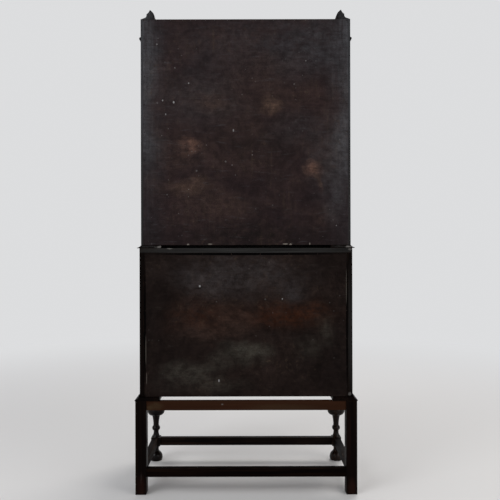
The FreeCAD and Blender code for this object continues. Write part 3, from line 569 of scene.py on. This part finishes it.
bookcase_dots = [
    (0.306, 1.666, 0.0045, 0.006, 0.9, OLD_PAINT),
    (0.353, 1.674, 0.0035, 0.0045, 0.7, OLD_PAINT),
    (0.34, 1.615, 0.003, 0.005, 0.6, OLD_PAINT),
    (0.242, 1.747, 0.0035, 0.004, 0.6, OLD_PAINT),
    (0.052, 1.546, 0.0035, 0.007, 0.7, OLD_PAINT),
    (0.246, 1.061, 0.006, 0.004, 0.8, CHIP),
    (0.152, 1.062, 0.012, 0.003, 0.7, CHIP),
    (-0.168, 1.062, 0.014, 0.003, 0.9, CHIP),
    (-0.19, 1.061, 0.007, 0.004, 0.9, CHIP),
    (-0.272, 1.063, 0.003, 0.006, 0.8, CHIP),
]
bookcase_board = back_board(
    "bookcase", ground=(0.0125, 0.0075, 0.008, 1), warm=(0.026, 0.0152, 0.014, 1), sheen_and_strokes=GREY_SHEEN,
    sheen_edges=(0.32, 0.47), sheen_heights=(1.2, 1.5), glows=bookcase_glows, dots=bookcase_dots,
    figured=0.45, specked=0.36, shine=0.05)
print("back board", bookcase_board.name, "marks", len(bookcase_glows) + len(bookcase_dots))

# %% [markdown]
# The bureau back is darker still, with a red band across it and dull olive smears near the foot. A sharp,
# dark mark along each edge paints the shadow in the gap around the board.

# %% Back of the bureau
OLIVE = (0.044, 0.04, 0.032, 1)
RED_BROWN = (0.034, 0.0114, 0.0054, 1)
# Painted shadow in the gap around the board.
GAP_SHADOW = (0.001, 0.0008, 0.0008, 1)

bureau_glows = [
    (0.03, 0.93, 0.44, 0.14, 0.6, ASH),
    (0.2, 0.9, 0.19, 0.085, 0.45, ASH),
    (-0.11, 0.93, 0.12, 0.08, 0.25, ASH),
    (-0.205, 0.85, 0.075, 0.07, 0.65, ASH),
    (-0.19, 0.757, 0.36, 0.09, 0.95, RED_BROWN),
    (-0.385, 0.78, 0.085, 0.08, 0.55, SOOT),
    (0.17, 0.745, 0.24, 0.11, 0.55, RED_BROWN),
    (-0.12, 0.74, 0.13, 0.055, 0.55, RED_BROWN),
    (0.05, 0.735, 0.14, 0.13, 0.55, UMBER),
    (0.18, 0.68, 0.16, 0.08, 0.55, UMBER),
    (-0.34, 0.69, 0.08, 0.09, 0.5, OLIVE),
    (0.01, 0.61, 0.15, 0.055, 1.0, OLIVE),
    (-0.03, 0.59, 0.12, 0.06, 0.6, OLIVE),
    (-0.25, 0.615, 0.08, 0.07, 0.45, OLIVE),
    (0.24, 0.52, 0.19, 0.07, 0.8, OLIVE),
    (0.11, 0.57, 0.11, 0.05, 0.5, OLIVE),
    (0.19, 0.465, 0.27, 0.06, 0.6, OLIVE),
    (0.46, 0.7, 0.15, 0.46, 1.0, SOOT),
    (-0.46, 0.68, 0.14, 0.46, 0.9, SOOT),
    (-0.06, 0.68, 0.08, 0.05, 0.4, SOOT),
    (-0.3, 0.54, 0.22, 0.13, 0.95, SOOT),
    (0.14, 0.5, 0.045, 0.03, 0.6, SOOT),
]
bureau_dots = [
    # The first three rows paint the shadow in the gap along the top and both upright edges.
    (0.0, 1.0195, 0.47, 0.0065, 1.0, GAP_SHADOW),
    (0.43, 0.73, 0.005, 0.33, 0.9, GAP_SHADOW),
    (-0.43, 0.73, 0.005, 0.33, 0.9, GAP_SHADOW),
    (0.197, 0.883, 0.005, 0.0055, 0.95, OLD_PAINT),
    (0.205, 0.874, 0.016, 0.004, 0.6, SOOT),
    (0.116, 0.48, 0.004, 0.0075, 0.8, OLD_PAINT),
    (-0.155, 0.828, 0.0035, 0.004, 0.7, OLD_PAINT),
    (0.427, 0.61, 0.0022, 0.075, 0.32, CHIP),
    (0.424, 0.49, 0.0024, 0.03, 0.3, CHIP),
    (-0.428, 0.88, 0.002, 0.09, 0.3, CHIP),
]
bureau_board = back_board(
    "bureau", ground=(0.0088, 0.0058, 0.005, 1), warm=(0.018, 0.0116, 0.0098, 1),
    sheen_and_strokes=(0.028, 0.0235, 0.0205, 1), sheen_edges=(0.45, 0.8), sheen_heights=(0.4, 0.6),
    glows=bureau_glows, dots=bureau_dots, figured=0.1, specked=0.12, shine=0.015)
print("back board", bureau_board.name, "marks", len(bureau_glows) + len(bureau_dots))

# %% [markdown]
# The brass has a dark film that opens here and there to brighter metal, and a second, rubbed brass is for
# its edges. The lead is soft and grey. The writing leather is green, with the fine pebble that split hide
# has. The glass is old drawn sheet, faintly wavy, so reflections swim a little when the doors move.

# %% Brass, lead, leather and glass
def metal(name, dull, bright, shine_cloud, roughness):
    """A metal with a dull film that noise opens to the bright metal below."""
    finish, tree, shader, vector = new_finish(name)
    film = noise(tree, vector, scale=45.0, detail=5.0, roughness=0.65)
    colour = blend(tree, spread(tree, film, *shine_cloud), dull, bright)
    rough = spread(tree, film, *NOISE_SPAN, roughness + 0.12, roughness - 0.08)
    fill(tree, shader, {"Base Color": colour, "Roughness": rough, "Metallic": 1.0})
    relief(tree, shader, noise(tree, vector, scale=420.0, detail=3.0), strength=0.18, depth=0.0002)
    return finish


brass = metal("aged_brass", (0.115, 0.075, 0.032, 1), (0.4, 0.27, 0.105, 1), (0.38, 0.68), 0.38)
rubbed_brass = metal("rubbed_brass", (0.3, 0.2, 0.08, 1), (0.62, 0.44, 0.18, 1), (0.3, 0.6), 0.26)
lead = metal("dull_lead", (0.075, 0.078, 0.083, 1), (0.17, 0.175, 0.185, 1), (0.35, 0.7), 0.5)
gilding = metal("worn_gilding", (0.16, 0.1, 0.035, 1), (0.66, 0.46, 0.16, 1), (0.36, 0.56), 0.34)

leather, tree, shader, vector = new_finish("green_leather")
pebbles = make(tree, "TexVoronoi", {"Vector": vector, "Scale": 620.0}).outputs["Distance"]
rubbing = noise(tree, vector, scale=9.0, detail=5.0, roughness=0.6)
hide = blend(tree, spread(tree, rubbing, 0.35, 0.75), (0.01, 0.024, 0.015, 1), (0.034, 0.058, 0.034, 1))
rough = spread(tree, rubbing, *NOISE_SPAN, 0.62, 0.42)
fill(tree, shader, {"Base Color": hide, "Roughness": rough, "Specular IOR Level": 0.3})
relief(tree, shader, pebbles, strength=0.5, depth=0.0005)

glass, tree, shader, vector = new_finish("old_sheet_glass")
tint = blend(tree, noise(tree, vector, scale=6.0), (0.93, 0.97, 0.95, 1), (0.98, 1.0, 0.99, 1))
fill(tree, shader, {"Base Color": tint, "Transmission Weight": 1.0, "Roughness": 0.02, "IOR": 1.47})
waves = noise(tree, scaled(tree, vector, (7, 7, 16)), detail=1.0)
relief(tree, shader, waves, strength=0.12, depth=0.004)
print("finishes", len(bpy.data.materials))

# %% [markdown]
# A saw leaves a knife edge, but no board keeps one. The frame's boards have sharp edges, so each gets two
# live modifiers: Weld joins its loose triangles, and Bevel rounds every real edge by about a millimetre.
# Bevel can also give the new narrow faces their own material, which is how the rubbed-through edge finish
# gets its place.

# %% Rounded edges
WELD_DISTANCE = 0.00002
EDGE_ANGLE = math.radians(50)
EDGE_STEPS = 2


def dress(name, face, edge, width):
    """Gives a frame piece its finishes and rounds its edges. The rounded strips take the second finish."""
    node = nodes[name]
    node.data.materials.clear()
    for finish in (face, edge):
        node.data.materials.append(finish)
    weld = node.modifiers.new("weld", "WELD")
    weld.merge_threshold = WELD_DISTANCE
    round_off = node.modifiers.new("round_edges", "BEVEL")
    round_off.width = width
    round_off.segments = EDGE_STEPS
    round_off.limit_method = "ANGLE"
    round_off.angle_limit = EDGE_ANGLE
    round_off.material = 1


BOARD_EDGE = 0.0012
THIN_EDGE = 0.0006
BRASS_EDGE = 0.0004
print("edges rounded by", BOARD_EDGE, THIN_EDGE, BRASS_EDGE)

# %% [markdown]
# The ends that face backwards had the most knocks and the least care: pale scratches, dust that has
# settled in, and feet that mops have rubbed red. A grey sheen like that of the board beside them is painted
# on some of them. They are listed piece by piece, in the same kind of rows as the marks on the back boards.

# %% Scuffs and painted sheen
SIDES = {"left": -1, "right": 1}
DUST = (0.026, 0.0255, 0.0245, 1)
PALE_WOOD = (0.15, 0.14, 0.13, 1)
MOSS = (0.046, 0.031, 0.016, 1)
RUBBED_FOOT = (0.015, 0.0055, 0.004, 1)
# A painted grey sheen, like the one on the back board beside these edges.
EDGE_SHEEN = (0.046, 0.046, 0.049, 1)
scuffs_and_sheen = {
    "waist_frame": [
        (0.368, 1.05, 0.026, 0.006, 0.8, PALE_WOOD),
        (0.42, 1.052, 0.05, 0.006, 0.6, DUST),
        (-0.437, 1.05, 0.02, 0.006, 0.95, PALE_WOOD),
        (-0.395, 1.052, 0.04, 0.006, 0.5, DUST),
    ],
    "bureau_top": [
        (0.0, 1.035, 0.7, 0.03, 0.95, DUST),
        (0.325, 1.043, 0.016, 0.004, 0.6, PALE_WOOD),
        (-0.445, 1.038, 0.012, 0.006, 0.5, PALE_WOOD),
    ],
    "bureau_side_left": [
        (-0.444, 0.7, 0.02, 0.34, 0.45, DUST),
        (-0.441, 0.424, 0.01, 0.008, 0.6, PALE_WOOD),
    ],
    "cornice": [
        # Painted grey sheen at both back corners of the cornice.
        (0.425, 2.039, 0.05, 0.045, 0.8, EDGE_SHEEN),
        (-0.425, 2.039, 0.05, 0.045, 0.6, EDGE_SHEEN),
    ],
    "stand_back_leg_right": [
        (0.445, 0.067, 0.004, 0.03, 0.55, DUST),
        (0.447, 0.03, 0.026, 0.075, 0.75, RUBBED_FOOT),
    ],
    "stand_back_leg_left": [
        (-0.447, 0.025, 0.026, 0.06, 0.75, RUBBED_FOOT),
        (-0.436, 0.23, 0.012, 0.16, 0.35, RUBBED_FOOT),
    ],
    "stand_back_rail": [
        (0.385, 0.374, 0.045, 0.022, 0.5, MOSS),
        (0.412, 0.365, 0.02, 0.016, 0.45, MOSS),
        (0.102, 0.382, 0.006, 0.004, 0.7, PALE_WOOD),
        (-0.15, 0.37, 0.2, 0.018, 0.35, MOSS),
    ],
}
for side, sign in SIDES.items():
    scuffs_and_sheen[f"bookcase_side_{side}"] = [
        # Painted grey sheen up the back edge of each side, and dust lower down.
        (sign * 0.441, 1.8, 0.03, 0.52, 1.0, EDGE_SHEEN),
        (sign * 0.441, 1.24, 0.03, 0.38, 1.0, DUST),
    ]
print("scuffs_and_sheen", sum(len(rows) for rows in scuffs_and_sheen.values()), "on", len(scuffs_and_sheen), "pieces")

# %% [markdown]
# Most oak pieces are plain boards, and a table says which wood each one is and which way its grain runs.
# Mouldings and door frames change direction at their joints. They and the scuffed boards need finishes of
# their own.

# %% Dress the oak
plain_oak = {
    ("black_oak", "x", BOARD_EDGE): [
        "stand_front_apron", "drawer_rail", "flap_panel", "upper_drawer_front", "lower_drawer_front",
        "frieze", "shelves", "bookcase_bottom", "writing_bed",
    ],
    ("black_oak", "y", BOARD_EDGE): ["stand_side_rails", "loper_left", "loper_right"],
    ("black_oak", "z", BOARD_EDGE): ["bureau_side_right"],
    ("turned_oak", "z", BOARD_EDGE): ["stand_front_leg_left", "stand_front_leg_right"],
    ("trodden_oak", "x", BOARD_EDGE): ["stretcher_front", "stretcher_back"],
    ("trodden_oak", "y", BOARD_EDGE): ["stretcher_sides"],
    ("dusty_oak", "x", BOARD_EDGE): ["bookcase_top"],
    ("inner_oak", "x", THIN_EDGE): ["inner_drawer_left", "inner_drawer_right", "pigeonhole_boards"],
    ("inner_oak", "z", THIN_EDGE): ["pigeonhole_dividers"],
    ("lining_oak", "y", THIN_EDGE): ["drawer_runners", "upper_drawer_box", "lower_drawer_box"],
    ("lipped_oak", "y", THIN_EDGE): ["bureau_bottom", "loper_partitions"],
}
for (wood, axis, width), names in plain_oak.items():
    for name in names:
        dress(name, *oak_pair(wood, axis), width)
for name in ("stand_top_frame", "waist_frame", "cornice", "bead_moulding"):
    dress(name, *oak_pair("black_oak", name, mitred(name), scuffs_and_sheen.get(name, ())), THIN_EDGE)
for name in ("stand_back_leg_left", "stand_back_leg_right", "bureau_side_left", "bookcase_side_left",
             "bookcase_side_right", "bureau_top"):
    axis = "x" if name == "bureau_top" else "z"
    dress(name, *oak_pair("black_oak", name, along(axis), scuffs_and_sheen[name]), BOARD_EDGE)
dress("stand_back_rail", *oak_pair("rail_oak", "x", scuffs_and_sheen=scuffs_and_sheen["stand_back_rail"]), BOARD_EDGE)
for side in SIDES:
    grain = framed(f"door_{side}_lead")
    dress(f"door_{side}_frame", *oak_pair("black_oak", f"door_{side}", grain), BOARD_EDGE)
print("oak finishes", 2 * len(made_oaks))

# %% [markdown]
# The rest is brass, lead, glass, leather and the two stained boards. Brass takes its bright finish on its
# edges, where hands and cloths rub it.

# %% Dress the rest
ROWS = ("upper", "lower")
for side in SIDES:
    dress(f"door_{side}_glass", glass, glass, THIN_EDGE)
    dress(f"door_{side}_lead", lead, lead, BRASS_EDGE)
    dress(f"door_{side}_brass", brass, rubbed_brass, BRASS_EDGE)
for row in ROWS:
    for part in ("handle_plates", "drop_left", "drop_right"):
        dress(f"{row}_drawer_{part}", brass, rubbed_brass, BRASS_EDGE)
for name in ("flap_brass", "flap_hinge_fixed_leaves", "door_hinge_fixed_leaves", "shelf_pegs"):
    dress(name, brass, rubbed_brass, BRASS_EDGE)
dress("flap_leather", leather, leather, BRASS_EDGE)
dress("bookcase_back_panel", bookcase_board, bookcase_board, THIN_EDGE)
dress("bureau_back_panel", bureau_board, bureau_board, THIN_EDGE)

undressed = [name for name, node in nodes.items() if not node.modifiers]
print("dressed", len(nodes) - len(undressed), "left", undressed)

# %% [markdown]
# Planted mouldings came last at the bench: thin strips, rounded on their edges, cut to length, mitred at
# the corners and glued on. They make two raised frames on each drawer and on the fall, and hold the glass
# in the doors. Each starts as a flat plate of the outer size. Inset leaves a band with mitred corners,
# the middle is deleted, and the band is pushed out and rounded. Its faces then take the grain of the
# strip that they belong to.

# %% Mitred frames
SMOOTH_ANGLE = math.radians(40)


def push_out(way):
    """Gives the whole flat shape in work a thickness."""
    bpy.ops.mesh.select_all(action="SELECT")
    bpy.ops.mesh.extrude_region_move(TRANSFORM_OT_translate={"value": way})


def finish_shape(name, *finishes):
    """Closes the work on a mesh: normals outwards, smooth shading, a name and its finishes."""
    bpy.ops.mesh.select_all(action="SELECT")
    bpy.ops.mesh.normals_make_consistent(inside=False)
    bpy.ops.object.mode_set(mode="OBJECT")
    bpy.ops.object.shade_smooth_by_angle(angle=SMOOTH_ANGLE)
    piece = bpy.context.object
    piece.name = name
    for finish in finishes:
        piece.data.materials.append(finish)
    return piece


def band(name, size, width, height, rounding, *finishes):
    """A mitred frame of a rectangle's outer size, its back on the plane y = 0 and its face towards -Y."""
    bpy.ops.object.select_all(action="DESELECT")
    bpy.ops.mesh.primitive_plane_add(size=1, enter_editmode=True)
    bpy.ops.transform.rotate(value=math.pi / 2, orient_axis="X", center_override=(0, 0, 0))
    bpy.ops.transform.resize(value=(size[0], 1, size[1]), center_override=(0, 0, 0))
    bpy.ops.mesh.inset(thickness=width)
    bpy.ops.mesh.delete(type="FACE")
    push_out((0, -height, 0))
    bpy.ops.mesh.region_to_loop()
    bpy.ops.mesh.bevel(offset=rounding, segments=4, material=1)
    return finish_shape(name, *finishes)


def oak_band(name, size, width, height, rounding, upright="z", direction=None):
    """A band in black oak, with a grain for its two level strips and one for its two upright strips."""
    finishes = oak_pair("black_oak", "x") + oak_pair("black_oak", upright, direction)
    piece = band(name, size, width, height, rounding, *finishes)
    for face in piece.data.polygons:
        from_side = size[0] / 2 - abs(face.center.x)
        from_end = size[1] / 2 - abs(face.center.z)
        if from_side < from_end:
            face.material_index += 2
    return piece


print("mitred frames ready")

# %% [markdown]
# The glazing beads sit just inside each door's opening, in front of the lead and behind it, where a
# joiner pins them so that a broken pane can be changed. All four are the same strip: the inner ones are
# turned half round. Each copy gets a mesh of its own, moved to its place, and rides on the body of its door.

# %% Glazing beads
BEAD_WIDTH = 0.006
BEAD_HEIGHT = 0.0052
BEAD_ROUNDING = 0.0022
BEAD_CLEARANCE = 0.0002


def turned(axis, quarters=1):
    """A turn about an axis, in quarter turns."""
    return Matrix.Rotation(quarters * math.pi / 2, 4, axis)


def placed(name, piece, places, body):
    """Copies of a piece at one or more places, joined into one that rides on a body."""
    bpy.ops.object.select_all(action="DESELECT")
    copies = []
    for place in places:
        copies.append(bpy.data.objects.new(name, piece.data.copy()))
        bpy.context.scene.collection.objects.link(copies[-1])
        copies[-1].data.transform(place)
        copies[-1].select_set(True)
    bpy.context.view_layer.objects.active = copies[0]
    if len(copies) > 1:
        bpy.ops.object.join()
    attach(copies[0], body)


HALF_TURN = turned("Z", 2)
lead_low, lead_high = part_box("door_left_lead")
bead_size = (lead_high.x - lead_low.x - BEAD_CLEARANCE, lead_high.z - lead_low.z - BEAD_CLEARANCE)
bead = oak_band("glazing_bead", bead_size, BEAD_WIDTH, BEAD_HEIGHT, BEAD_ROUNDING)
for side in SIDES:
    low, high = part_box(f"door_{side}_lead")
    middle = (low + high) / 2
    outer_place = Matrix.Translation((middle.x, low.y - BEAD_CLEARANCE, middle.z))
    inner_place = Matrix.Translation((middle.x, high.y + BEAD_CLEARANCE, middle.z))
    placed(f"door_{side}_bead_outer", bead, [outer_place], f"door_{side}")
    placed(f"door_{side}_bead_inner", bead, [inner_place @ HALF_TURN], f"door_{side}")
bpy.data.objects.remove(bead)
print("glazing beads", [round(value, 4) for value in bead_size])

# %% [markdown]
# The frames on the drawers stand around the handles, with the same margin above and below. Their middle is
# taken from the handle's own box, so they follow it when the frame changes.

# %% Frames on the drawers
FRAME_WIDTH = 0.011
FRAME_HEIGHT = 0.004
FRAME_ROUNDING = 0.0028
FRAME_REACH = 0.25
DRAWER_MARGIN = 0.017

for row in ROWS:
    low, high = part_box(f"{row}_drawer_front")
    frame_size = (FRAME_REACH, high.z - low.z - 2 * DRAWER_MARGIN)
    drawer_frame = oak_band(f"{row}_drawer_frame", frame_size, FRAME_WIDTH, FRAME_HEIGHT, FRAME_ROUNDING)
    for side in SIDES:
        drop_low, drop_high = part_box(f"{row}_drawer_drop_{side}")
        place = Matrix.Translation(((drop_low.x + drop_high.x) / 2, low.y, (low.z + high.z) / 2))
        placed(f"{row}_drawer_frame_{side}", drawer_frame, [place], f"{row}_drawer")
    bpy.data.objects.remove(drawer_frame)
    print(row, "drawer frames", [round(value, 4) for value in frame_size])

# %% [markdown]
# The frames on the fall are thinner, because the fall comes to rest a few millimetres over the open upper
# drawer, and they stay clear of the two bearers that it rests on. The hinge's range gives the slope of the
# closed fall. The frames are made upright, leaned back by that slope and moved to the hinge.

# %% Frames on the fall
FALL_FRAME_HEIGHT = 0.0028
FALL_FRAME_ROUNDING = 0.0022
FALL_FRAME_SIZE = (0.34, 0.236)
FALL_FRAME_CENTRE = (0.212, 0.158)
FALL_FACE = 0.0203
slope = math.radians(joints["flap_fall"]["range_deg"][1] - 90)


def up_the_slope(tree, vector):
    """Grain up the sloping fall."""
    upright = make(tree, "Mapping", {"Vector": vector, "Rotation": (slope, 0, 0)}).outputs["Vector"]
    return ordered(tree, upright, "zxy")


on_slope = Matrix.Translation(fall_hinge) @ Matrix.Rotation(-slope, 4, "X")
fall_frame = oak_band("fall_frame", FALL_FRAME_SIZE, FRAME_WIDTH, FALL_FRAME_HEIGHT, FALL_FRAME_ROUNDING,
                      "slope", up_the_slope)
for side, sign in SIDES.items():
    place = Matrix.Translation((sign * FALL_FRAME_CENTRE[0], -FALL_FACE, FALL_FRAME_CENTRE[1]))
    placed(f"fall_frame_{side}", fall_frame, [on_slope @ place], "flap")
bpy.data.objects.remove(fall_frame)
print("slope of the fall", round(math.degrees(slope), 2), "degrees")

# %% [markdown]
# A gilt line is rolled onto the leather with a hot wheel, a broad line and a fine one inside it. Each is
# a band so thin that it only catches the light.

# %% Gilt lines
GILT_HEIGHT = 0.00015
GILT_LINES = ((0.0024, 0.0), (0.0009, 0.006))
GILT_SIZE = (0.786, 0.203)
GILT_CENTRE = 0.1604
LEATHER_FACE = 0.0003

gilt_lines = []
for width, inset in GILT_LINES:
    line_size = (GILT_SIZE[0] - 2 * inset, GILT_SIZE[1] - 2 * inset)
    gilt_lines.append(band("gilt_line", line_size, width, GILT_HEIGHT, GILT_HEIGHT / 3, gilding, gilding))
for line in gilt_lines:
    line.select_set(True)
bpy.ops.object.join()
gilt = bpy.context.object
place = Matrix.Translation((0, -LEATHER_FACE, GILT_CENTRE)) @ HALF_TURN
placed("leather_gilt_lines", gilt, [on_slope @ place], "flap")
bpy.data.objects.remove(gilt)
print("gilt lines", len(gilt_lines))

# %% [markdown]
# Slotted brass screws hold the hinge leaves, three to a leaf, and nobody lined up their slots. A head
# starts as a filled circle. Bisect saws one half of it away a little past the middle, the rest is pushed
# out and its rim rounded, and a copy turned half round leaves the slot between the two halves.

# %% Screw heads
SCREW_RADIUS = 0.0026
SCREW_RISE = 0.00015
SLOT_WIDTH = 0.0008
SLOT_TURN = math.radians(37)


def start_disc(radius, oval=(1, 1, 1), sides=14):
    """Starts a flat disc at the origin, drawn out to an oval where one is given."""
    bpy.ops.object.select_all(action="DESELECT")
    bpy.ops.mesh.primitive_circle_add(vertices=sides, radius=radius, fill_type="NGON", enter_editmode=True)
    bpy.ops.transform.resize(value=oval, center_override=(0, 0, 0))


def raise_disc(rise, rim):
    """Pushes a flat face up and rounds a share of its upper rim."""
    push_out((0, 0, rise))
    bpy.ops.mesh.region_to_loop()
    bpy.ops.mesh.bevel(offset=rise * rim, segments=3)


start_disc(SCREW_RADIUS, sides=32)
bpy.ops.mesh.bisect(plane_co=(SLOT_WIDTH / 2, 0, 0), plane_no=(1, 0, 0), clear_inner=True)
raise_disc(SCREW_RISE, rim=0.8)
bpy.ops.mesh.select_all(action="SELECT")
bpy.ops.mesh.duplicate()
bpy.ops.transform.rotate(value=math.pi, orient_axis="Z", center_override=(0, 0, 0))
screw = finish_shape("screw_head", rubbed_brass)
print("screw head faces", len(screw.data.polygons))

# %% [markdown]
# Each door turns on two hinges. Their leaves face each other across the gap beside the stile, so one set of
# screws looks outwards and rides on the door, and the other looks inwards and stays on the case.

# %% Screws in the door hinges
HINGE_LENGTH = 0.06
DOOR_HINGE_INSET = 0.11
SCREW_STEPS = (-0.02, 0.0, 0.02)
LEAF_REACH = 0.0115


def driven(number):
    """A turn of the slot, different for each screw."""
    return Matrix.Rotation(number * SLOT_TURN, 4, "Z")


case_screws = []
for side, sign in SIDES.items():
    low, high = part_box(f"door_{side}_frame")
    edge_x = low.x if sign < 0 else high.x
    pivot_x = joints[f"door_{side}_swing"]["pos_m"][0]
    door_screws = []
    for hinge_z in (low.z + DOOR_HINGE_INSET, high.z - DOOR_HINGE_INSET - HINGE_LENGTH):
        for number, step in enumerate(SCREW_STEPS):
            screw_y = low.y + LEAF_REACH
            screw_z = hinge_z + HINGE_LENGTH / 2 + step
            outwards = turned("Y", sign) @ driven(number)
            inwards = turned("Y", -sign) @ driven(number + 2)
            door_screws.append(Matrix.Translation((edge_x, screw_y, screw_z)) @ outwards)
            case_screws.append(Matrix.Translation((pivot_x, screw_y, screw_z)) @ inwards)
    placed(f"door_{side}_screws", screw, door_screws, f"door_{side}")
placed("case_hinge_screws", screw, case_screws, "carcase")
print("door screws", 2 * len(case_screws))

# %% [markdown]
# The fall also turns on two hinges. Their leaves lie flush in the writing bed and in the inner face of the
# fall, so the bed's screws look straight up and the others lean with the slope.

# %% Screws in the fall hinges
FALL_HINGE_X = 0.303
FALL_LEAF_REACH = 0.0155

fall_screws, bed_screws = [], []
for middle_x in (-FALL_HINGE_X, FALL_HINGE_X):
    for number, step in enumerate(SCREW_STEPS):
        place = Matrix.Translation((middle_x + step, -LEATHER_FACE, FALL_LEAF_REACH))
        fall_screws.append(on_slope @ place @ turned("X", -1) @ driven(number))
        bed_place = fall_hinge + Vector((middle_x + step, FALL_LEAF_REACH, 0))
        bed_screws.append(Matrix.Translation(bed_place) @ driven(number + 1))
placed("fall_screws", screw, fall_screws, "flap")
placed("bed_hinge_screws", screw, bed_screws, "carcase")
bpy.data.objects.remove(screw)
print("fall screws", len(fall_screws) + len(bed_screws))

# %% [markdown]
# The thin back boards are nailed into their rebates. The nails are iron, gone dark, with low domed heads
# that the hammer left a little uneven in height. One head is modelled, and set along the four edges of
# each board.

# %% Nails in the back boards
NAIL_RADIUS = 0.0021
NAIL_RISE = 0.0007
NAIL_SINK = NAIL_RISE * 0.2
NAIL_INSET = 0.0055
NAIL_SPACING = 0.125

iron = metal("dark_iron", (0.012, 0.009, 0.008, 1), (0.045, 0.032, 0.025, 1), (0.4, 0.7), 0.62)
start_disc(NAIL_RADIUS)
raise_disc(NAIL_RISE, rim=0.9)
nail = finish_shape("nail_head", iron)
for board in ("bookcase_back_panel", "bureau_back_panel"):
    low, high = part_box(board)
    columns = round((high.x - low.x) / NAIL_SPACING)
    rows = round((high.z - low.z) / NAIL_SPACING)
    spots = []
    for column in range(columns + 1):
        x = low.x + NAIL_INSET + (high.x - low.x - 2 * NAIL_INSET) * column / columns
        spots += [(x, low.z + NAIL_INSET), (x, high.z - NAIL_INSET)]
    for row in range(1, rows):
        z = low.z + NAIL_INSET + (high.z - low.z - 2 * NAIL_INSET) * row / rows
        spots += [(low.x + NAIL_INSET, z), (high.x - NAIL_INSET, z)]
    places = []
    for number, (x, z) in enumerate(spots):
        sunk = NAIL_SINK * (number % 3)
        places.append(Matrix.Translation((x, high.y - sunk, z)) @ turned("X", -1))
    placed(f"{board}_nails", nail, places, "carcase")
    print(board, "nails", len(spots))
bpy.data.objects.remove(nail)

# %% [markdown]
# Where two lead strips cross, the glazier floods the joint with solder, on both faces of the window. It
# sets as a flat drop, never quite round. One oval drop is modelled, and turned a little further at each
# crossing.

# %% Solder on the lead
SOLDER_RADIUS = 0.0058
SOLDER_RISE = 0.0008
SOLDER_OVAL = (1.12, 0.9, 1)
PANE_COLUMNS = 3
PANE_ROWS = 5

start_disc(SOLDER_RADIUS, SOLDER_OVAL)
raise_disc(SOLDER_RISE, rim=0.95)
solder = finish_shape("solder_drop", lead)
for side in SIDES:
    low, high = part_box(f"door_{side}_lead")
    across = (high.x - low.x) / PANE_COLUMNS / 2
    up = (high.z - low.z) / PANE_ROWS / 2
    places = []
    for column in range(1, 2 * PANE_COLUMNS):
        for row in range(1 + column % 2, 2 * PANE_ROWS, 2):
            for face_y, quarters in ((low.y, 1), (high.y, -1)):
                place = Matrix.Translation((low.x + column * across, face_y, low.z + row * up))
                places.append(place @ turned("X", quarters) @ driven(len(places)))
    placed(f"door_{side}_solder", solder, places, f"door_{side}")
    print(side, "solder drops", len(places))
bpy.data.objects.remove(solder)

# %% [markdown]
# Each handle plate was stamped with a ring of petals. One petal is a circle squeezed to an oval, pushed
# up and rounded. Moved out from the middle, it is spun around the plate as separate copies.

# %% Rosettes on the handle plates
PETALS = 12
PETAL_RADIUS = 0.003
PETAL_RISE = 0.0007
PETAL_OVAL = (1.35, 0.85, 1)
PETAL_RING = 0.014
PETAL_MERGE = 0.00005
PLATE_RADIUS = 0.019
PLATE_THICKNESS = 0.002

start_disc(PETAL_RADIUS, PETAL_OVAL, sides=16)
raise_disc(PETAL_RISE, rim=0.95)
bpy.ops.mesh.select_all(action="SELECT")
bpy.ops.transform.translate(value=(PETAL_RING, 0, 0))
bpy.ops.mesh.spin(steps=PETALS, angle=2 * math.pi, dupli=True, center=(0, 0, 0), axis=(0, 0, 1))
bpy.ops.mesh.select_all(action="SELECT")
bpy.ops.mesh.remove_doubles(threshold=PETAL_MERGE)
rosette = finish_shape("rosette", rubbed_brass)
for row in ROWS:
    low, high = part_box(f"{row}_drawer_front")
    plate_low, plate_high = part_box(f"{row}_drawer_handle_plates")
    places = []
    for sign in SIDES.values():
        plate_x = sign * (plate_high.x - PLATE_RADIUS)
        place = Matrix.Translation((plate_x, low.y - PLATE_THICKNESS, plate_low.z + PLATE_RADIUS))
        places.append(place @ turned("X"))
    placed(f"{row}_drawer_rosettes", rosette, places, f"{row}_drawer")
bpy.data.objects.remove(rosette)
print("rosettes", len(ROWS) * len(places))

# %% [markdown]
# The drawers are dovetailed. Behind a lap of dark face wood, the ends of each front show the pale tails
# of the drawer side, wide at the lap and narrow at the shoulder, so that a pull on the handle cannot part
# them. Each tail is a thin plate cut from a rectangle by two slanting bisects, as the joiner saws it.

# %% Dovetails
TAIL_LAP = 0.005
TAIL_LENGTH = 0.0149
TAIL_SHARE = 0.62
TAIL_SLANT = math.radians(11)
TAIL_THICKNESS = 0.0003
TAILS = 3

tail_finish = oak_pair("lining_oak", "y")[0]
for row in ROWS:
    low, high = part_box(f"{row}_drawer_front")
    pitch = (high.z - low.z) / TAILS
    half_height = pitch * TAIL_SHARE / 2
    bpy.ops.object.select_all(action="DESELECT")
    bpy.ops.mesh.primitive_plane_add(size=1, enter_editmode=True)
    bpy.ops.transform.resize(value=(TAIL_LENGTH, pitch, 1), center_override=(0, 0, 0))
    for sign in SIDES.values():
        cut_place = (-TAIL_LENGTH / 2, sign * half_height, 0)
        cut_normal = (math.sin(TAIL_SLANT), sign * math.cos(TAIL_SLANT), 0)
        bpy.ops.mesh.select_all(action="SELECT")
        bpy.ops.mesh.bisect(plane_co=cut_place, plane_no=cut_normal, clear_outer=True)
    push_out((0, 0, TAIL_THICKNESS))
    tail = finish_shape(f"{row}_tail", tail_finish)
    places = []
    for end_x, quarters in ((low.x, 3), (high.x, 1)):
        for number in range(TAILS):
            tail_y = low.y + TAIL_LAP + TAIL_LENGTH / 2
            place = Matrix.Translation((end_x, tail_y, low.z + (number + 0.5) * pitch))
            places.append(place @ turned("Z") @ turned("X", quarters))
    placed(f"{row}_drawer_dovetails", tail, places, f"{row}_drawer")
    bpy.data.objects.remove(tail)
print("dovetails", len(ROWS) * len(places))
